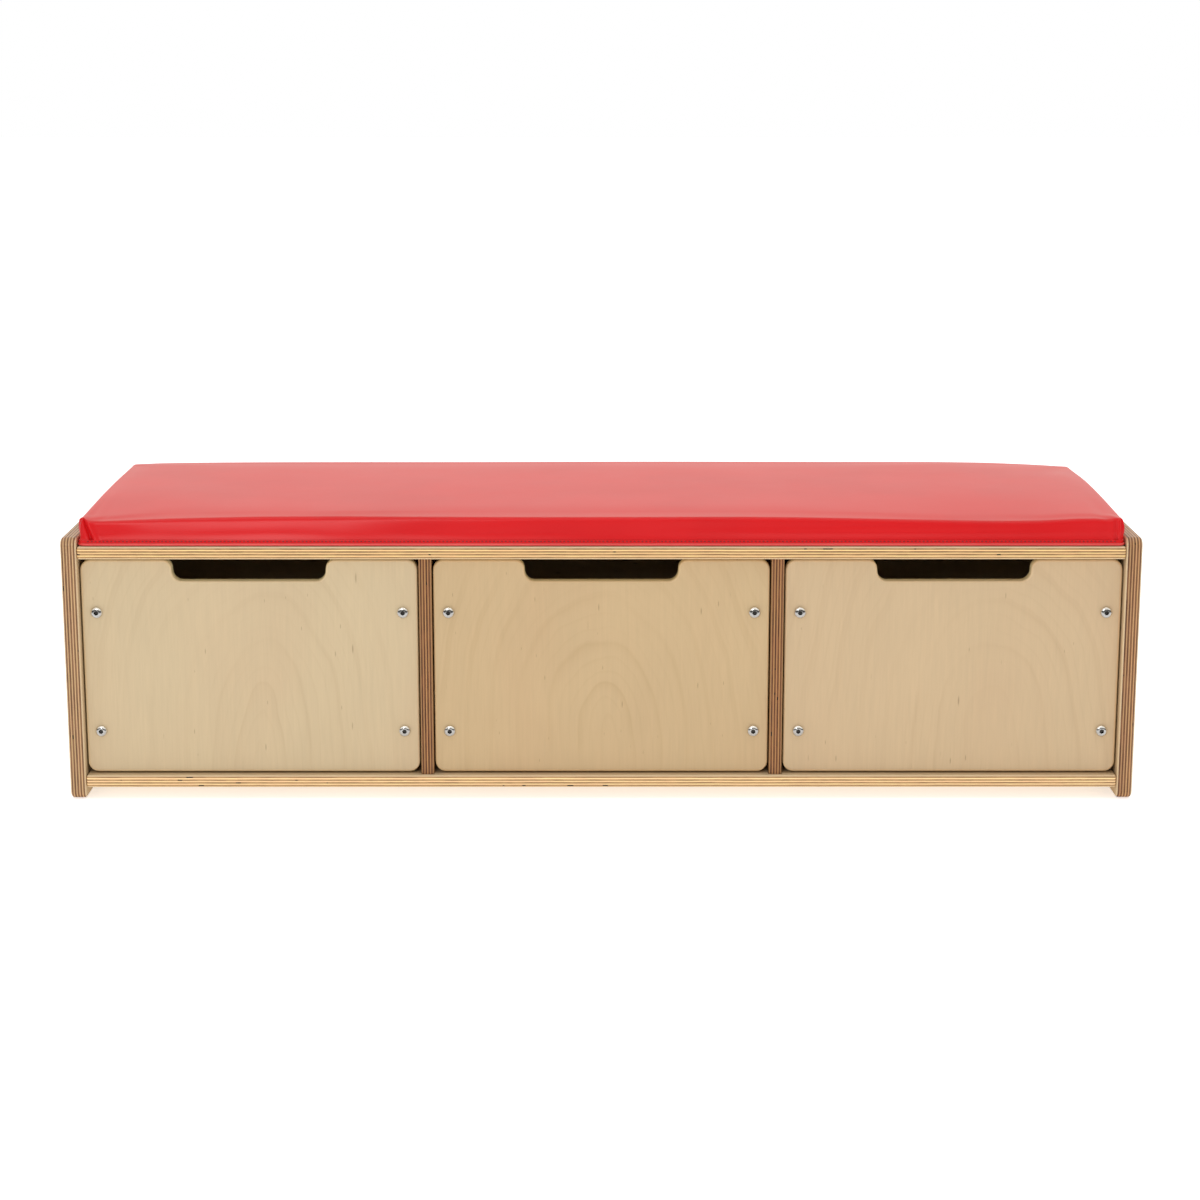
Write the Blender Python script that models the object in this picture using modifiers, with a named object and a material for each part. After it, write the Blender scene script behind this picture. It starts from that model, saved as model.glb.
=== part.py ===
"""Low plywood storage bench: an open carcass, three pull-out box drawers and a loose seat cushion.

Frame: origin on the floor under the centre of the bench, +X to its right, +Y to its back, +Z up.
Sizes are in metres. The drawers slide out along -Y, and the cushion lifts off along +Z.
"""

import math

import bmesh
import bpy
from mathutils import Matrix, Vector

# ---------------------------------------------------------------- driving dimensions

LENGTH = 1.000                  # over the two end panels
DEPTH = 0.300                   # front to back
END_HEIGHT = 0.250              # floor to the top of the end panels

END_THICKNESS = 0.015           # end panels, 11-ply sheet
BOARD_THICKNESS = 0.012         # seat and base boards, 9-ply sheet
DIVIDER_THICKNESS = 0.012       # upright dividers between the bays
BACK_THICKNESS = 0.006          # thin sheet that closes the back

BOARD_LIFT = 0.011              # floor to the underside of the base board
SEAT_DROP = 0.008               # top of the end panels down to the top of the seat board
BOARD_SETBACK = 0.001           # board edges behind the front edge of the end panels
DIVIDER_SETBACK = 0.0055        # divider edges behind the front edge of the end panels
DADO_DEPTH = 0.003              # how far a divider is let into each board
END_CORNER_RADIUS = 0.008       # corners of an end panel, seen from the side
PANEL_ROUND = 0.003             # rounded edges of the end panels
BOARD_ROUND = 0.002             # eased edges of the boards and dividers

FIT_GAP = 0.0003                # between pieces that touch

BAY_NAMES = ("left", "middle", "right")

# drawers
FRONT_THICKNESS = 0.012
FRONT_SETBACK = 0.008           # drawer faces behind the front edge of the end panels
FRONT_SIDE_GAP = 0.0012         # drawer front to the side of its bay
FRONT_BOTTOM_GAP = 0.0015       # drawer front to the base board
FRONT_TOP_GAP = 0.0015          # drawer front to the seat board
FRONT_CORNER_RADIUS = 0.010
FRONT_ROUND = 0.0028            # rounded edge all round the drawer front
NOTCH_MOUTH = 0.144             # hand notch, width at the top edge of the front
NOTCH_FLOOR = 0.141             # hand notch, width at its floor
NOTCH_DEPTH = 0.020
NOTCH_LIP_RADIUS = 0.008
NOTCH_FLOOR_RADIUS = 0.0085

BOX_SIDE_THICKNESS = 0.012
BOX_SIDE_INSET = 0.008          # outer face of a box side in from the end of the drawer front
BOX_BACK_THICKNESS = 0.012
BOX_BOTTOM_THICKNESS = 0.006
BOX_RUN_GAP = 0.0005            # under the box sides, where they slide on the base board
BOX_TOP_DROP = 0.028            # top of the drawer front down to the top of the box sides
BOX_BACK_GAP = 0.0015           # drawer box to the bench's back sheet
GROOVE_LIFT = 0.006             # underside of a box side up to its groove
GROOVE_DEPTH = 0.005

# fasteners: M6 button-head bolts with hexagon sockets, and cross-dowel nuts
HEAD_RADIUS = 0.0055
HEAD_HEIGHT = 0.0033
HEAD_RIM = 0.0006               # straight wall round the foot of the head
HEAD_STEP = 0.0002              # dome in from the rim of the head
SHANK_RADIUS = 0.003
SHANK_CHAMFER = 0.0006
SOCKET_ACROSS_FLATS = 0.004
SOCKET_DEPTH = 0.0021
HOLE_CLEARANCE = 0.0004         # on the radius, round a shank, a nut or a screw
DRAWER_BOLT_LENGTH = 0.040
BOLT_FROM_BOTTOM = 0.0400       # lower bolts above the bottom edge of the drawer front
BOLT_FROM_TOP = 0.0500          # upper bolts below the top edge of the drawer front
NUT_RADIUS = 0.005
NUT_WALL = 0.0016               # wood left between the end of a nut's hole and the outer face
NUT_FROM_FRONT = 0.018          # centre of a nut behind the drawer front
END_BOLT_LENGTH = 0.050
END_BOLT_FROM_EDGE = 0.045      # end bolts in from the front and back edges of the bench

# cushion
CUSHION_SIDE_GAP = 0.001        # cushion to the inner face of an end panel
CUSHION_FRONT_SETBACK = 0.004
CUSHION_BACK_SETBACK = 0.006
CUSHION_EDGE_HEIGHT = 0.028     # height of the cushion's sides
CUSHION_CROWN = 0.005           # how far the middle rises above the sides
COVER_THICKNESS = 0.0012
COVER_ROUND = 0.005
CUSHION_CELLS = (12, 6)         # cells of the crowned top, along X and along Y

# facets
ROUND_STEPS = 14                # steps round a bolt, a nut or a bore
DOME_STEPS = 3                  # steps from the rim of a bolt head to its crown
ARC_STEPS = 4                   # steps round each corner of an outline

# ---------------------------------------------------------------- derived sizes

INNER_HALF = LENGTH / 2 - END_THICKNESS
BAY_WIDTH = (2 * INNER_HALF - (len(BAY_NAMES) - 1) * DIVIDER_THICKNESS) / len(BAY_NAMES)
BAY_PITCH = BAY_WIDTH + DIVIDER_THICKNESS

FRONT_Y = -DEPTH / 2
BACK_Y = DEPTH / 2
BACK_SHEET_Y = BACK_Y - BACK_THICKNESS
BASE_BOTTOM = BOARD_LIFT
BASE_TOP = BASE_BOTTOM + BOARD_THICKNESS
SEAT_TOP = END_HEIGHT - SEAT_DROP
SEAT_BOTTOM = SEAT_TOP - BOARD_THICKNESS

FACE_Y = FRONT_Y + FRONT_SETBACK
FACE_BACK_Y = FACE_Y + FRONT_THICKNESS
FACE_WIDTH = BAY_WIDTH - 2 * FRONT_SIDE_GAP
FACE_BOTTOM = BASE_TOP + FRONT_BOTTOM_GAP
FACE_TOP = SEAT_BOTTOM - FRONT_TOP_GAP

BOX_HALF = FACE_WIDTH / 2 - BOX_SIDE_INSET
BOX_INNER_HALF = BOX_HALF - BOX_SIDE_THICKNESS
BOX_FRONT_Y = FACE_BACK_Y + FIT_GAP
BOX_REAR_Y = BACK_SHEET_Y - BOX_BACK_GAP
BOX_LOW = BASE_TOP + BOX_RUN_GAP
BOX_HIGH = FACE_TOP - BOX_TOP_DROP
GROOVE_LOW = BOX_LOW + GROOVE_LIFT
GROOVE_HEIGHT = BOX_BOTTOM_THICKNESS + 2 * FIT_GAP

NUT_LENGTH = BOX_SIDE_THICKNESS - NUT_WALL - HOLE_CLEARANCE
BOLT_HEIGHTS = (("lower", FACE_BOTTOM + BOLT_FROM_BOTTOM), ("upper", FACE_TOP - BOLT_FROM_TOP))

CUSHION_LOW = SEAT_TOP + FIT_GAP
CUSHION_FRONT = FRONT_Y + CUSHION_FRONT_SETBACK
CUSHION_BACK = BACK_Y - CUSHION_BACK_SETBACK
CUSHION_WIDTH = 2 * (INNER_HALF - CUSHION_SIDE_GAP)
CUSHION_LENGTH = CUSHION_BACK - CUSHION_FRONT

# ---------------------------------------------------------------- scene and materials


def clear_scene():
    """Remove every object that is already in the file."""
    for item in list(bpy.data.objects):
        bpy.data.objects.remove(item, do_unlink=True)


def new_collection(name):
    """Return a new collection under the scene's own."""
    group = bpy.data.collections.new(name)
    bpy.context.scene.collection.children.link(group)
    return group


def plain_material(name, colour, roughness, metallic=0.0):
    """Return a Principled material with one colour."""
    material = bpy.data.materials.new(name)
    material.use_nodes = True
    shader = material.node_tree.nodes["Principled BSDF"]
    shader.inputs["Base Color"].default_value = (*colour, 1.0)
    shader.inputs["Roughness"].default_value = roughness
    shader.inputs["Metallic"].default_value = metallic
    material.diffuse_color = (*colour, 1.0)
    return material


clear_scene()
BENCH = new_collection("storage_bench")
CUTTERS = new_collection("cutters")

BIRCH = plain_material("birch_plywood", (0.62, 0.47, 0.29), 0.42)
BIRCH_DARK = plain_material("birch_plywood_inside", (0.55, 0.41, 0.25), 0.5)
STEEL = plain_material("zinc_plated_steel", (0.62, 0.62, 0.60), 0.22, 1.0)
VINYL = plain_material("red_vinyl", (0.68, 0.012, 0.012), 0.38)
FOAM = plain_material("cushion_foam", (0.75, 0.70, 0.52), 0.9)

# ---------------------------------------------------------------- objects


def add_object(name, mesh, location, material=None, parent=None, group=BENCH):
    """Link a mesh as a named object, at a world location, under an optional empty."""
    item = bpy.data.objects.new(name, mesh)
    group.objects.link(item)
    if parent is not None:
        item.parent = parent
        location = Vector(location) - parent.location
    item.location = location
    if material is not None:
        mesh.materials.clear()
        mesh.materials.append(material)
    return item


def add_pivot(name, location):
    """Return an empty that carries a moving assembly, on its joint's axis."""
    pivot = bpy.data.objects.new(name, None)
    BENCH.objects.link(pivot)
    pivot.location = location
    return pivot


def box_mesh(name, low, high, corner=0.0):
    """Return a box mesh centred on its own origin, and the box's centre.

    corner is the radius of its four upright edges.
    """
    low, high = Vector(low), Vector(high)
    size = high - low
    shape = bmesh.new()
    bmesh.ops.create_cube(shape, size=1.0)
    bmesh.ops.scale(shape, vec=size, verts=shape.verts)
    if corner:
        upright = [edge for edge in shape.edges
                   if abs(edge.verts[0].co.z - edge.verts[1].co.z) > size.z / 2]
        bmesh.ops.bevel(shape, geom=upright, offset=corner, segments=ARC_STEPS, profile=0.5,
                        affect="EDGES", material=-1)
    mesh = bpy.data.meshes.new(name)
    shape.to_mesh(mesh)
    shape.free()
    return mesh, (low + high) / 2


def add_box(name, low, high, material, parent=None, corner=0.0):
    """Add a box between two world corners, with its upright edges rounded."""
    mesh, centre = box_mesh(name, low, high, corner)
    return add_object(name, mesh, centre, material, parent)


def round_edges(item, width, segments=2):
    """Round every sharp edge of an object."""
    rounding = item.modifiers.new("rounding", "BEVEL")
    rounding.width = width
    rounding.segments = segments
    rounding.limit_method = "ANGLE"
    rounding.angle_limit = math.radians(40)
    return rounding


def add_cut(item, cutter):
    """Subtract a cutter from an object."""
    cutter.hide_render = True
    cutter.display_type = "WIRE"
    cut = item.modifiers.new("cut", "BOOLEAN")
    cut.operation = "DIFFERENCE"
    cut.object = cutter


def bore(item, start, end, radius):
    """Bore a round hole in an object, from one world point to another."""
    start, end = Vector(start), Vector(end)
    axis = end - start
    turn = axis.to_track_quat("Z", "Y").to_matrix().to_4x4()
    shape = bmesh.new()
    bmesh.ops.create_cone(shape, cap_ends=True, segments=ROUND_STEPS, radius1=radius,
                          radius2=radius, depth=axis.length, matrix=turn)
    mesh = bpy.data.meshes.new(item.name + "_bore")
    shape.to_mesh(mesh)
    shape.free()
    add_cut(item, add_object(mesh.name, mesh, (start + end) / 2, group=CUTTERS))


def slot(item, low, high):
    """Cut a box-shaped slot from an object, between two world corners."""
    mesh, centre = box_mesh(item.name + "_slot", low, high)
    add_cut(item, add_object(mesh.name, mesh, centre, group=CUTTERS))


def rounded_outline(corners):
    """Return the points of a closed outline whose corners (x, y, radius) are rounded by arcs."""
    points = []
    for index, (x, y, radius) in enumerate(corners):
        here = Vector((x, y))
        before = Vector(corners[index - 1][:2]) - here
        after = Vector(corners[(index + 1) % len(corners)][:2]) - here
        before.normalize()
        after.normalize()
        half = before.angle(after) / 2
        inward = (before + after).normalized()
        centre = here + inward * radius / math.sin(half)
        first = here + before * radius / math.tan(half) - centre
        last = here + after * radius / math.tan(half) - centre
        sweep = first.angle_signed(last)
        for step in range(ARC_STEPS + 1):
            points.append(centre + Matrix.Rotation(-sweep * step / ARC_STEPS, 2) @ first)
    return points


def plate_mesh(name, points, thickness):
    """Return a flat plate: an outline in X and Z, extruded along Y about its own middle."""
    curve = bpy.data.curves.new(name, "CURVE")
    curve.dimensions = "2D"
    curve.fill_mode = "BOTH"
    curve.extrude = thickness / 2
    spline = curve.splines.new("POLY")
    spline.points.add(len(points) - 1)
    for point, (x, y) in zip(spline.points, points):
        point.co = (x, y, 0.0, 1.0)
    spline.use_cyclic_u = True
    outline = bpy.data.objects.new(name, curve)
    CUTTERS.objects.link(outline)
    bpy.context.view_layer.update()
    evaluated = outline.evaluated_get(bpy.context.evaluated_depsgraph_get())
    mesh = bpy.data.meshes.new_from_object(evaluated)
    bpy.data.objects.remove(outline, do_unlink=True)
    shape = bmesh.new()
    shape.from_mesh(mesh)
    bmesh.ops.remove_doubles(shape, verts=shape.verts, dist=1e-6)
    bmesh.ops.dissolve_limit(shape, angle_limit=math.radians(1), verts=shape.verts,
                             edges=shape.edges)
    bmesh.ops.rotate(shape, cent=(0, 0, 0), matrix=Matrix.Rotation(math.pi / 2, 3, "X"),
                     verts=shape.verts)
    bmesh.ops.recalc_face_normals(shape, faces=shape.faces)
    shape.to_mesh(mesh)
    shape.free()
    mesh.name = name
    return mesh


def frozen_mesh(item):
    """Return an object's evaluated mesh, and remove the object."""
    bpy.context.view_layer.update()
    evaluated = item.evaluated_get(bpy.context.evaluated_depsgraph_get())
    mesh = bpy.data.meshes.new_from_object(evaluated)
    mesh.name = item.name
    bpy.data.objects.remove(item, do_unlink=True)
    return mesh


def turned_mesh(name, profile):
    """Return a solid of revolution about Z, from a profile that runs down its outer side."""
    mesh = bpy.data.meshes.new(name)
    shape = bmesh.new()
    points = [shape.verts.new((radius, 0.0, height)) for radius, height in profile]
    for upper, lower in zip(points, points[1:]):
        shape.edges.new((upper, lower))
    shape.to_mesh(mesh)
    shape.free()
    item = add_object(name, mesh, (0, 0, 0), group=CUTTERS)
    turn = item.modifiers.new("turn", "SCREW")
    turn.steps = ROUND_STEPS
    turn.render_steps = ROUND_STEPS
    turn.use_merge_vertices = True
    turn.merge_threshold = 1e-5
    return frozen_mesh(item)


# ---------------------------------------------------------------- fasteners


def bolt_mesh(name, length):
    """Return a button-head bolt: its head above Z = 0, its shank below, a hexagon socket on top."""
    dome_radius = HEAD_RADIUS - HEAD_STEP
    dome = HEAD_HEIGHT - HEAD_RIM
    turns = [math.pi / 2 * step / DOME_STEPS for step in range(DOME_STEPS + 1)]
    arc = [(dome_radius * math.sin(turn), HEAD_RIM + dome * math.cos(turn)) for turn in turns]
    profile = arc + [(HEAD_RADIUS, HEAD_RIM / 2), (HEAD_RADIUS, 0.0), (SHANK_RADIUS, 0.0),
                     (SHANK_RADIUS, SHANK_CHAMFER - length),
                     (SHANK_RADIUS - SHANK_CHAMFER, -length), (0.0, -length)]
    blank = add_object(name, turned_mesh(name, profile), (0, 0, 0), group=CUTTERS)
    shape = bmesh.new()
    bmesh.ops.create_cone(shape, cap_ends=True, segments=6, depth=2 * SOCKET_DEPTH,
                          radius1=SOCKET_ACROSS_FLATS / math.sqrt(3),
                          radius2=SOCKET_ACROSS_FLATS / math.sqrt(3))
    mesh = bpy.data.meshes.new(name + "_socket")
    shape.to_mesh(mesh)
    shape.free()
    socket = add_object(mesh.name, mesh, (0, 0, HEAD_HEIGHT), group=CUTTERS)
    add_cut(blank, socket)
    frozen = frozen_mesh(blank)
    bpy.data.objects.remove(socket, do_unlink=True)
    frozen.materials.clear()
    frozen.materials.append(STEEL)
    return frozen


def add_bolt(name, mesh, head_foot, direction, parent=None):
    """Add a bolt with the foot of its head at a world point and its head facing a direction."""
    bolt = add_object(name, mesh, head_foot, parent=parent)
    bolt.rotation_euler = Vector(direction).to_track_quat("Z", "Y").to_euler()
    return bolt


# ---------------------------------------------------------------- carcass


def bay_centre(index):
    """Return the X of a bay's middle."""
    return (index - (len(BAY_NAMES) - 1) / 2) * BAY_PITCH


def divider_centre(index):
    """Return the X of the divider to the right of a bay."""
    return bay_centre(index) + BAY_PITCH / 2


def end_bolt_places():
    """Return each end bolt's name, its side (-1 or 1), Y and Z."""
    places = []
    for side_name, side in (("left", -1), ("right", 1)):
        for board, height in (("base", BASE_BOTTOM + BOARD_THICKNESS / 2),
                              ("seat", SEAT_TOP - BOARD_THICKNESS / 2)):
            for edge, y in (("front", FRONT_Y + END_BOLT_FROM_EDGE),
                            ("back", BACK_Y - END_BOLT_FROM_EDGE)):
                places.append((f"{side_name}_end_bolt_{board}_{edge}", side, board, y, height))
    return places


def build_end_panels():
    """Add the two end panels, with their corners and edges rounded."""
    half_depth, half_height = DEPTH / 2, END_HEIGHT / 2
    outline = rounded_outline([(sx * half_depth, sz * half_height, END_CORNER_RADIUS)
                               for sx, sz in ((-1, -1), (1, -1), (1, 1), (-1, 1))])
    for side_name, side in (("left", -1), ("right", 1)):
        name = f"end_panel_{side_name}"
        mesh = plate_mesh(name, outline, END_THICKNESS)
        mesh.transform(Matrix.Rotation(math.pi / 2, 4, "Z"))
        centre = (side * (LENGTH - END_THICKNESS) / 2, 0, half_height)
        panel = add_object(name, mesh, centre, BIRCH)
        round_edges(panel, PANEL_ROUND)
        for _, bolt_side, _, y, height in end_bolt_places():
            if bolt_side == side:
                bore(panel, (side * (INNER_HALF - END_THICKNESS), y, height),
                     (side * (LENGTH / 2 + END_THICKNESS), y, height), SHANK_RADIUS + HOLE_CLEARANCE)


def build_board(name, low, dado_face):
    """Add a horizontal board with a dado for each divider in its face at height dado_face."""
    half = INNER_HALF - FIT_GAP
    board_front = FRONT_Y + BOARD_SETBACK
    board = add_box(name, (-half, board_front, low),
                    (half, BACK_SHEET_Y - FIT_GAP, low + BOARD_THICKNESS), BIRCH)
    round_edges(board, BOARD_ROUND)
    reach = DADO_DEPTH + FIT_GAP
    for index in range(len(BAY_NAMES) - 1):
        x = divider_centre(index)
        reach_half = DIVIDER_THICKNESS / 2 + FIT_GAP
        slot(board, (x - reach_half, FRONT_Y + DIVIDER_SETBACK - FIT_GAP, dado_face - reach),
             (x + reach_half, BACK_SHEET_Y + FIT_GAP, dado_face + reach))
    for bolt_name, side, bolt_board, y, height in end_bolt_places():
        if name.startswith(bolt_board):
            bolt_end = LENGTH / 2 - END_BOLT_LENGTH - 2 * HOLE_CLEARANCE
            bore(board, (side * bolt_end, y, height), (side * LENGTH / 2, y, height),
                 SHANK_RADIUS + HOLE_CLEARANCE)


def build_dividers():
    """Add the upright dividers, let into both boards."""
    for index, name in enumerate(("divider_left", "divider_right")):
        x = divider_centre(index)
        half = DIVIDER_THICKNESS / 2
        divider = add_box(name, (x - half, FRONT_Y + DIVIDER_SETBACK, BASE_TOP - DADO_DEPTH),
                          (x + half, BACK_SHEET_Y - FIT_GAP, SEAT_BOTTOM + DADO_DEPTH), BIRCH)
        round_edges(divider, BOARD_ROUND)


def build_carcass():
    """Add every fixed piece of the bench."""
    build_end_panels()
    build_board("base_board", BASE_BOTTOM, BASE_TOP)
    build_board("seat_board", SEAT_BOTTOM, SEAT_BOTTOM)
    build_dividers()
    back_half = INNER_HALF - FIT_GAP
    add_box("back_panel", (-back_half, BACK_SHEET_Y, BASE_BOTTOM), (back_half, BACK_Y, SEAT_TOP),
            BIRCH_DARK)
    mesh = bolt_mesh("end_bolt", END_BOLT_LENGTH)
    for name, side, _, y, height in end_bolt_places():
        add_bolt(name, mesh, (side * (LENGTH / 2 + FIT_GAP), y, height), (side, 0, 0))


# ---------------------------------------------------------------- drawers


def drawer_front_outline():
    """Return the outline of a drawer front, seen from the front, about its own middle."""
    half_width, half_height = FACE_WIDTH / 2, (FACE_TOP - FACE_BOTTOM) / 2
    mouth, floor = NOTCH_MOUTH / 2, NOTCH_FLOOR / 2
    return rounded_outline([
        (-half_width, -half_height, FRONT_CORNER_RADIUS),
        (half_width, -half_height, FRONT_CORNER_RADIUS),
        (half_width, half_height, FRONT_CORNER_RADIUS),
        (mouth, half_height, NOTCH_LIP_RADIUS),
        (floor, half_height - NOTCH_DEPTH, NOTCH_FLOOR_RADIUS),
        (-floor, half_height - NOTCH_DEPTH, NOTCH_FLOOR_RADIUS),
        (-mouth, half_height, NOTCH_LIP_RADIUS),
        (-half_width, half_height, FRONT_CORNER_RADIUS)])


def build_drawer_front(bay, x, pivot):
    """Add a drawer front with its hand notch, bolt holes and groove."""
    name = f"{bay}_drawer_front"
    mesh = plate_mesh(name, drawer_front_outline(), FRONT_THICKNESS)
    centre = (x, FACE_Y + FRONT_THICKNESS / 2, (FACE_TOP + FACE_BOTTOM) / 2)
    front = add_object(name, mesh, centre, BIRCH, pivot)
    round_edges(front, FRONT_ROUND)
    for side in (-1, 1):
        for _, height in BOLT_HEIGHTS:
            bolt_x = x + side * (BOX_HALF - BOX_SIDE_THICKNESS / 2)
            bore(front, (bolt_x, FACE_Y - FRONT_THICKNESS, height),
                 (bolt_x, FACE_BACK_Y + FRONT_THICKNESS, height), SHANK_RADIUS + HOLE_CLEARANCE)
    groove_half = BOX_INNER_HALF + GROOVE_DEPTH
    slot(front, (x - groove_half, FACE_BACK_Y - GROOVE_DEPTH, GROOVE_LOW),
         (x + groove_half, FACE_BACK_Y + GROOVE_DEPTH, GROOVE_LOW + GROOVE_HEIGHT))


def build_drawer_side(bay, x, side_name, side, pivot):
    """Add one side of a drawer box, with its groove and the holes for bolts and nuts."""
    inner, outer = x + side * BOX_INNER_HALF, x + side * BOX_HALF
    panel = add_box(f"{bay}_drawer_{side_name}_side",
                    (min(inner, outer), BOX_FRONT_Y, BOX_LOW),
                    (max(inner, outer), BOX_REAR_Y, BOX_HIGH), BIRCH_DARK, pivot)
    groove = sorted((inner - side * GROOVE_DEPTH, inner + side * GROOVE_DEPTH))
    slot(panel, (groove[0], BOX_FRONT_Y - GROOVE_DEPTH, GROOVE_LOW),
         (groove[1], BOX_REAR_Y + GROOVE_DEPTH, GROOVE_LOW + GROOVE_HEIGHT))
    bolt_x = x + side * (BOX_HALF - BOX_SIDE_THICKNESS / 2)
    bolt_end = FACE_Y + DRAWER_BOLT_LENGTH + 2 * HOLE_CLEARANCE
    nut_y = FACE_BACK_Y + NUT_FROM_FRONT
    nut_end = inner + side * (NUT_LENGTH + HOLE_CLEARANCE)
    for _, height in BOLT_HEIGHTS:
        bore(panel, (bolt_x, FACE_Y, height), (bolt_x, bolt_end, height),
             SHANK_RADIUS + HOLE_CLEARANCE)
        bore(panel, (inner - side * NUT_LENGTH, nut_y, height), (nut_end, nut_y, height),
             NUT_RADIUS + HOLE_CLEARANCE)


def build_drawer_nut(name, x, side, height, pivot):
    """Add a cross-dowel nut, lying along X in a box side, with a hole for its bolt."""
    inner = x + side * BOX_INNER_HALF
    nut_y = FACE_BACK_Y + NUT_FROM_FRONT
    shape = bmesh.new()
    bmesh.ops.create_cone(shape, cap_ends=True, segments=ROUND_STEPS, radius1=NUT_RADIUS,
                          radius2=NUT_RADIUS, depth=NUT_LENGTH,
                          matrix=Matrix.Rotation(math.pi / 2, 4, "Y"))
    mesh = bpy.data.meshes.new(name)
    shape.to_mesh(mesh)
    shape.free()
    centre = (inner + side * NUT_LENGTH / 2, nut_y, height)
    nut = add_object(name, mesh, centre, STEEL, pivot)
    bolt_x = x + side * (BOX_HALF - BOX_SIDE_THICKNESS / 2)
    bore(nut, (bolt_x, nut_y - 2 * NUT_RADIUS, height), (bolt_x, nut_y + 2 * NUT_RADIUS, height),
         SHANK_RADIUS + HOLE_CLEARANCE)


def build_drawer(bay, x, bolt):
    """Add one drawer: a front, a four-piece box, and the bolts and nuts that join them."""
    pivot = add_pivot(f"{bay}_drawer_slide", (x, FACE_Y, (FACE_BOTTOM + FACE_TOP) / 2))
    build_drawer_front(bay, x, pivot)
    for side_name, side in (("left", -1), ("right", 1)):
        build_drawer_side(bay, x, side_name, side, pivot)
        for level, height in BOLT_HEIGHTS:
            bolt_x = x + side * (BOX_HALF - BOX_SIDE_THICKNESS / 2)
            add_bolt(f"{bay}_drawer_bolt_{side_name}_{level}", bolt,
                     (bolt_x, FACE_Y - FIT_GAP, height), (0, -1, 0), pivot)
            build_drawer_nut(f"{bay}_drawer_nut_{side_name}_{level}", x, side, height, pivot)
    back_half = BOX_INNER_HALF - FIT_GAP
    back = add_box(f"{bay}_drawer_back", (x - back_half, BOX_REAR_Y - BOX_BACK_THICKNESS, BOX_LOW),
                   (x + back_half, BOX_REAR_Y, BOX_HIGH), BIRCH_DARK, pivot)
    back_face = BOX_REAR_Y - BOX_BACK_THICKNESS
    slot(back, (x - BOX_HALF, back_face - GROOVE_DEPTH, GROOVE_LOW),
         (x + BOX_HALF, back_face + GROOVE_DEPTH, GROOVE_LOW + GROOVE_HEIGHT))
    reach = GROOVE_DEPTH - FIT_GAP
    add_box(f"{bay}_drawer_bottom",
            (x - BOX_INNER_HALF - reach, FACE_BACK_Y - reach, GROOVE_LOW + FIT_GAP),
            (x + BOX_INNER_HALF + reach, back_face + reach,
             GROOVE_LOW + FIT_GAP + BOX_BOTTOM_THICKNESS), BIRCH_DARK, pivot)


# ---------------------------------------------------------------- cushion


def crowned_block(name, inset, low, drop, closed):
    """Return a crowned block: a domed top, upright sides, and a flat underside if closed.

    inset draws the sides in, drop lowers the top, and low is the height of the lower rim.
    """
    half_x, half_y = CUSHION_WIDTH / 2 - inset, CUSHION_LENGTH / 2 - inset
    rim = CUSHION_EDGE_HEIGHT - drop
    shape = bmesh.new()
    bmesh.ops.create_grid(shape, x_segments=CUSHION_CELLS[0], y_segments=CUSHION_CELLS[1], size=1.0)
    for vert in shape.verts:
        across = (1 - abs(vert.co.x) ** 4) * (1 - vert.co.y ** 2)
        vert.co = (vert.co.x * half_x, vert.co.y * half_y, rim + CUSHION_CROWN * across)
    border = [edge for edge in shape.edges if edge.is_boundary]
    walls = bmesh.ops.extrude_edge_only(shape, edges=border)["geom"]
    foot = [item for item in walls if isinstance(item, bmesh.types.BMVert)]
    for vert in foot:
        vert.co.z = low
    if closed:
        rim_edges = [item for item in walls if isinstance(item, bmesh.types.BMEdge)]
        bmesh.ops.contextual_create(shape, geom=rim_edges)
    bmesh.ops.recalc_face_normals(shape, faces=shape.faces)
    if not closed and max(shape.faces, key=lambda face: face.calc_center_median().z).normal.z < 0:
        bmesh.ops.reverse_faces(shape, faces=shape.faces)
    mesh = bpy.data.meshes.new(name)
    shape.to_mesh(mesh)
    shape.free()
    return mesh


def build_cushion():
    """Add the loose seat cushion: a sewn cover, its underside, and the foam block inside."""
    foot = (0, (CUSHION_FRONT + CUSHION_BACK) / 2, CUSHION_LOW)
    pivot = add_pivot("cushion_lift", foot)
    cover = add_object("cushion_cover", crowned_block("cushion_cover", 0.0, 0.0, 0.0, False), foot,
                       VINYL, pivot)
    round_edges(cover, COVER_ROUND)
    wall = cover.modifiers.new("wall", "SOLIDIFY")
    wall.thickness = COVER_THICKNESS
    wall.offset = -1.0
    wall.use_even_offset = True
    half_x = CUSHION_WIDTH / 2 - COVER_THICKNESS - FIT_GAP
    half_y = CUSHION_LENGTH / 2 - COVER_THICKNESS - FIT_GAP
    centre = Vector(foot)
    add_box("cushion_underside", centre - Vector((half_x, half_y, 0)),
            centre + Vector((half_x, half_y, COVER_THICKNESS)), VINYL, pivot, COVER_ROUND)
    room = COVER_THICKNESS + 2 * FIT_GAP
    block = crowned_block("cushion_foam", room, room, room, True)
    round_edges(add_object("cushion_foam", block, foot, FOAM, pivot), COVER_ROUND)


# ---------------------------------------------------------------- build

build_carcass()
drawer_bolt = bolt_mesh("drawer_bolt", DRAWER_BOLT_LENGTH)
for bay_index, bay_name in enumerate(BAY_NAMES):
    build_drawer(bay_name, bay_centre(bay_index), drawer_bolt)
build_cushion()
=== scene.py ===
"""Finish of a plywood storage bench: plywood, bolts, nuts and a sewn seat cushion on its frame."""

import logging
import math
from dataclasses import dataclass
from enum import Enum

import bmesh
import bpy
from mathutils import Matrix, Vector, noise


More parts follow.
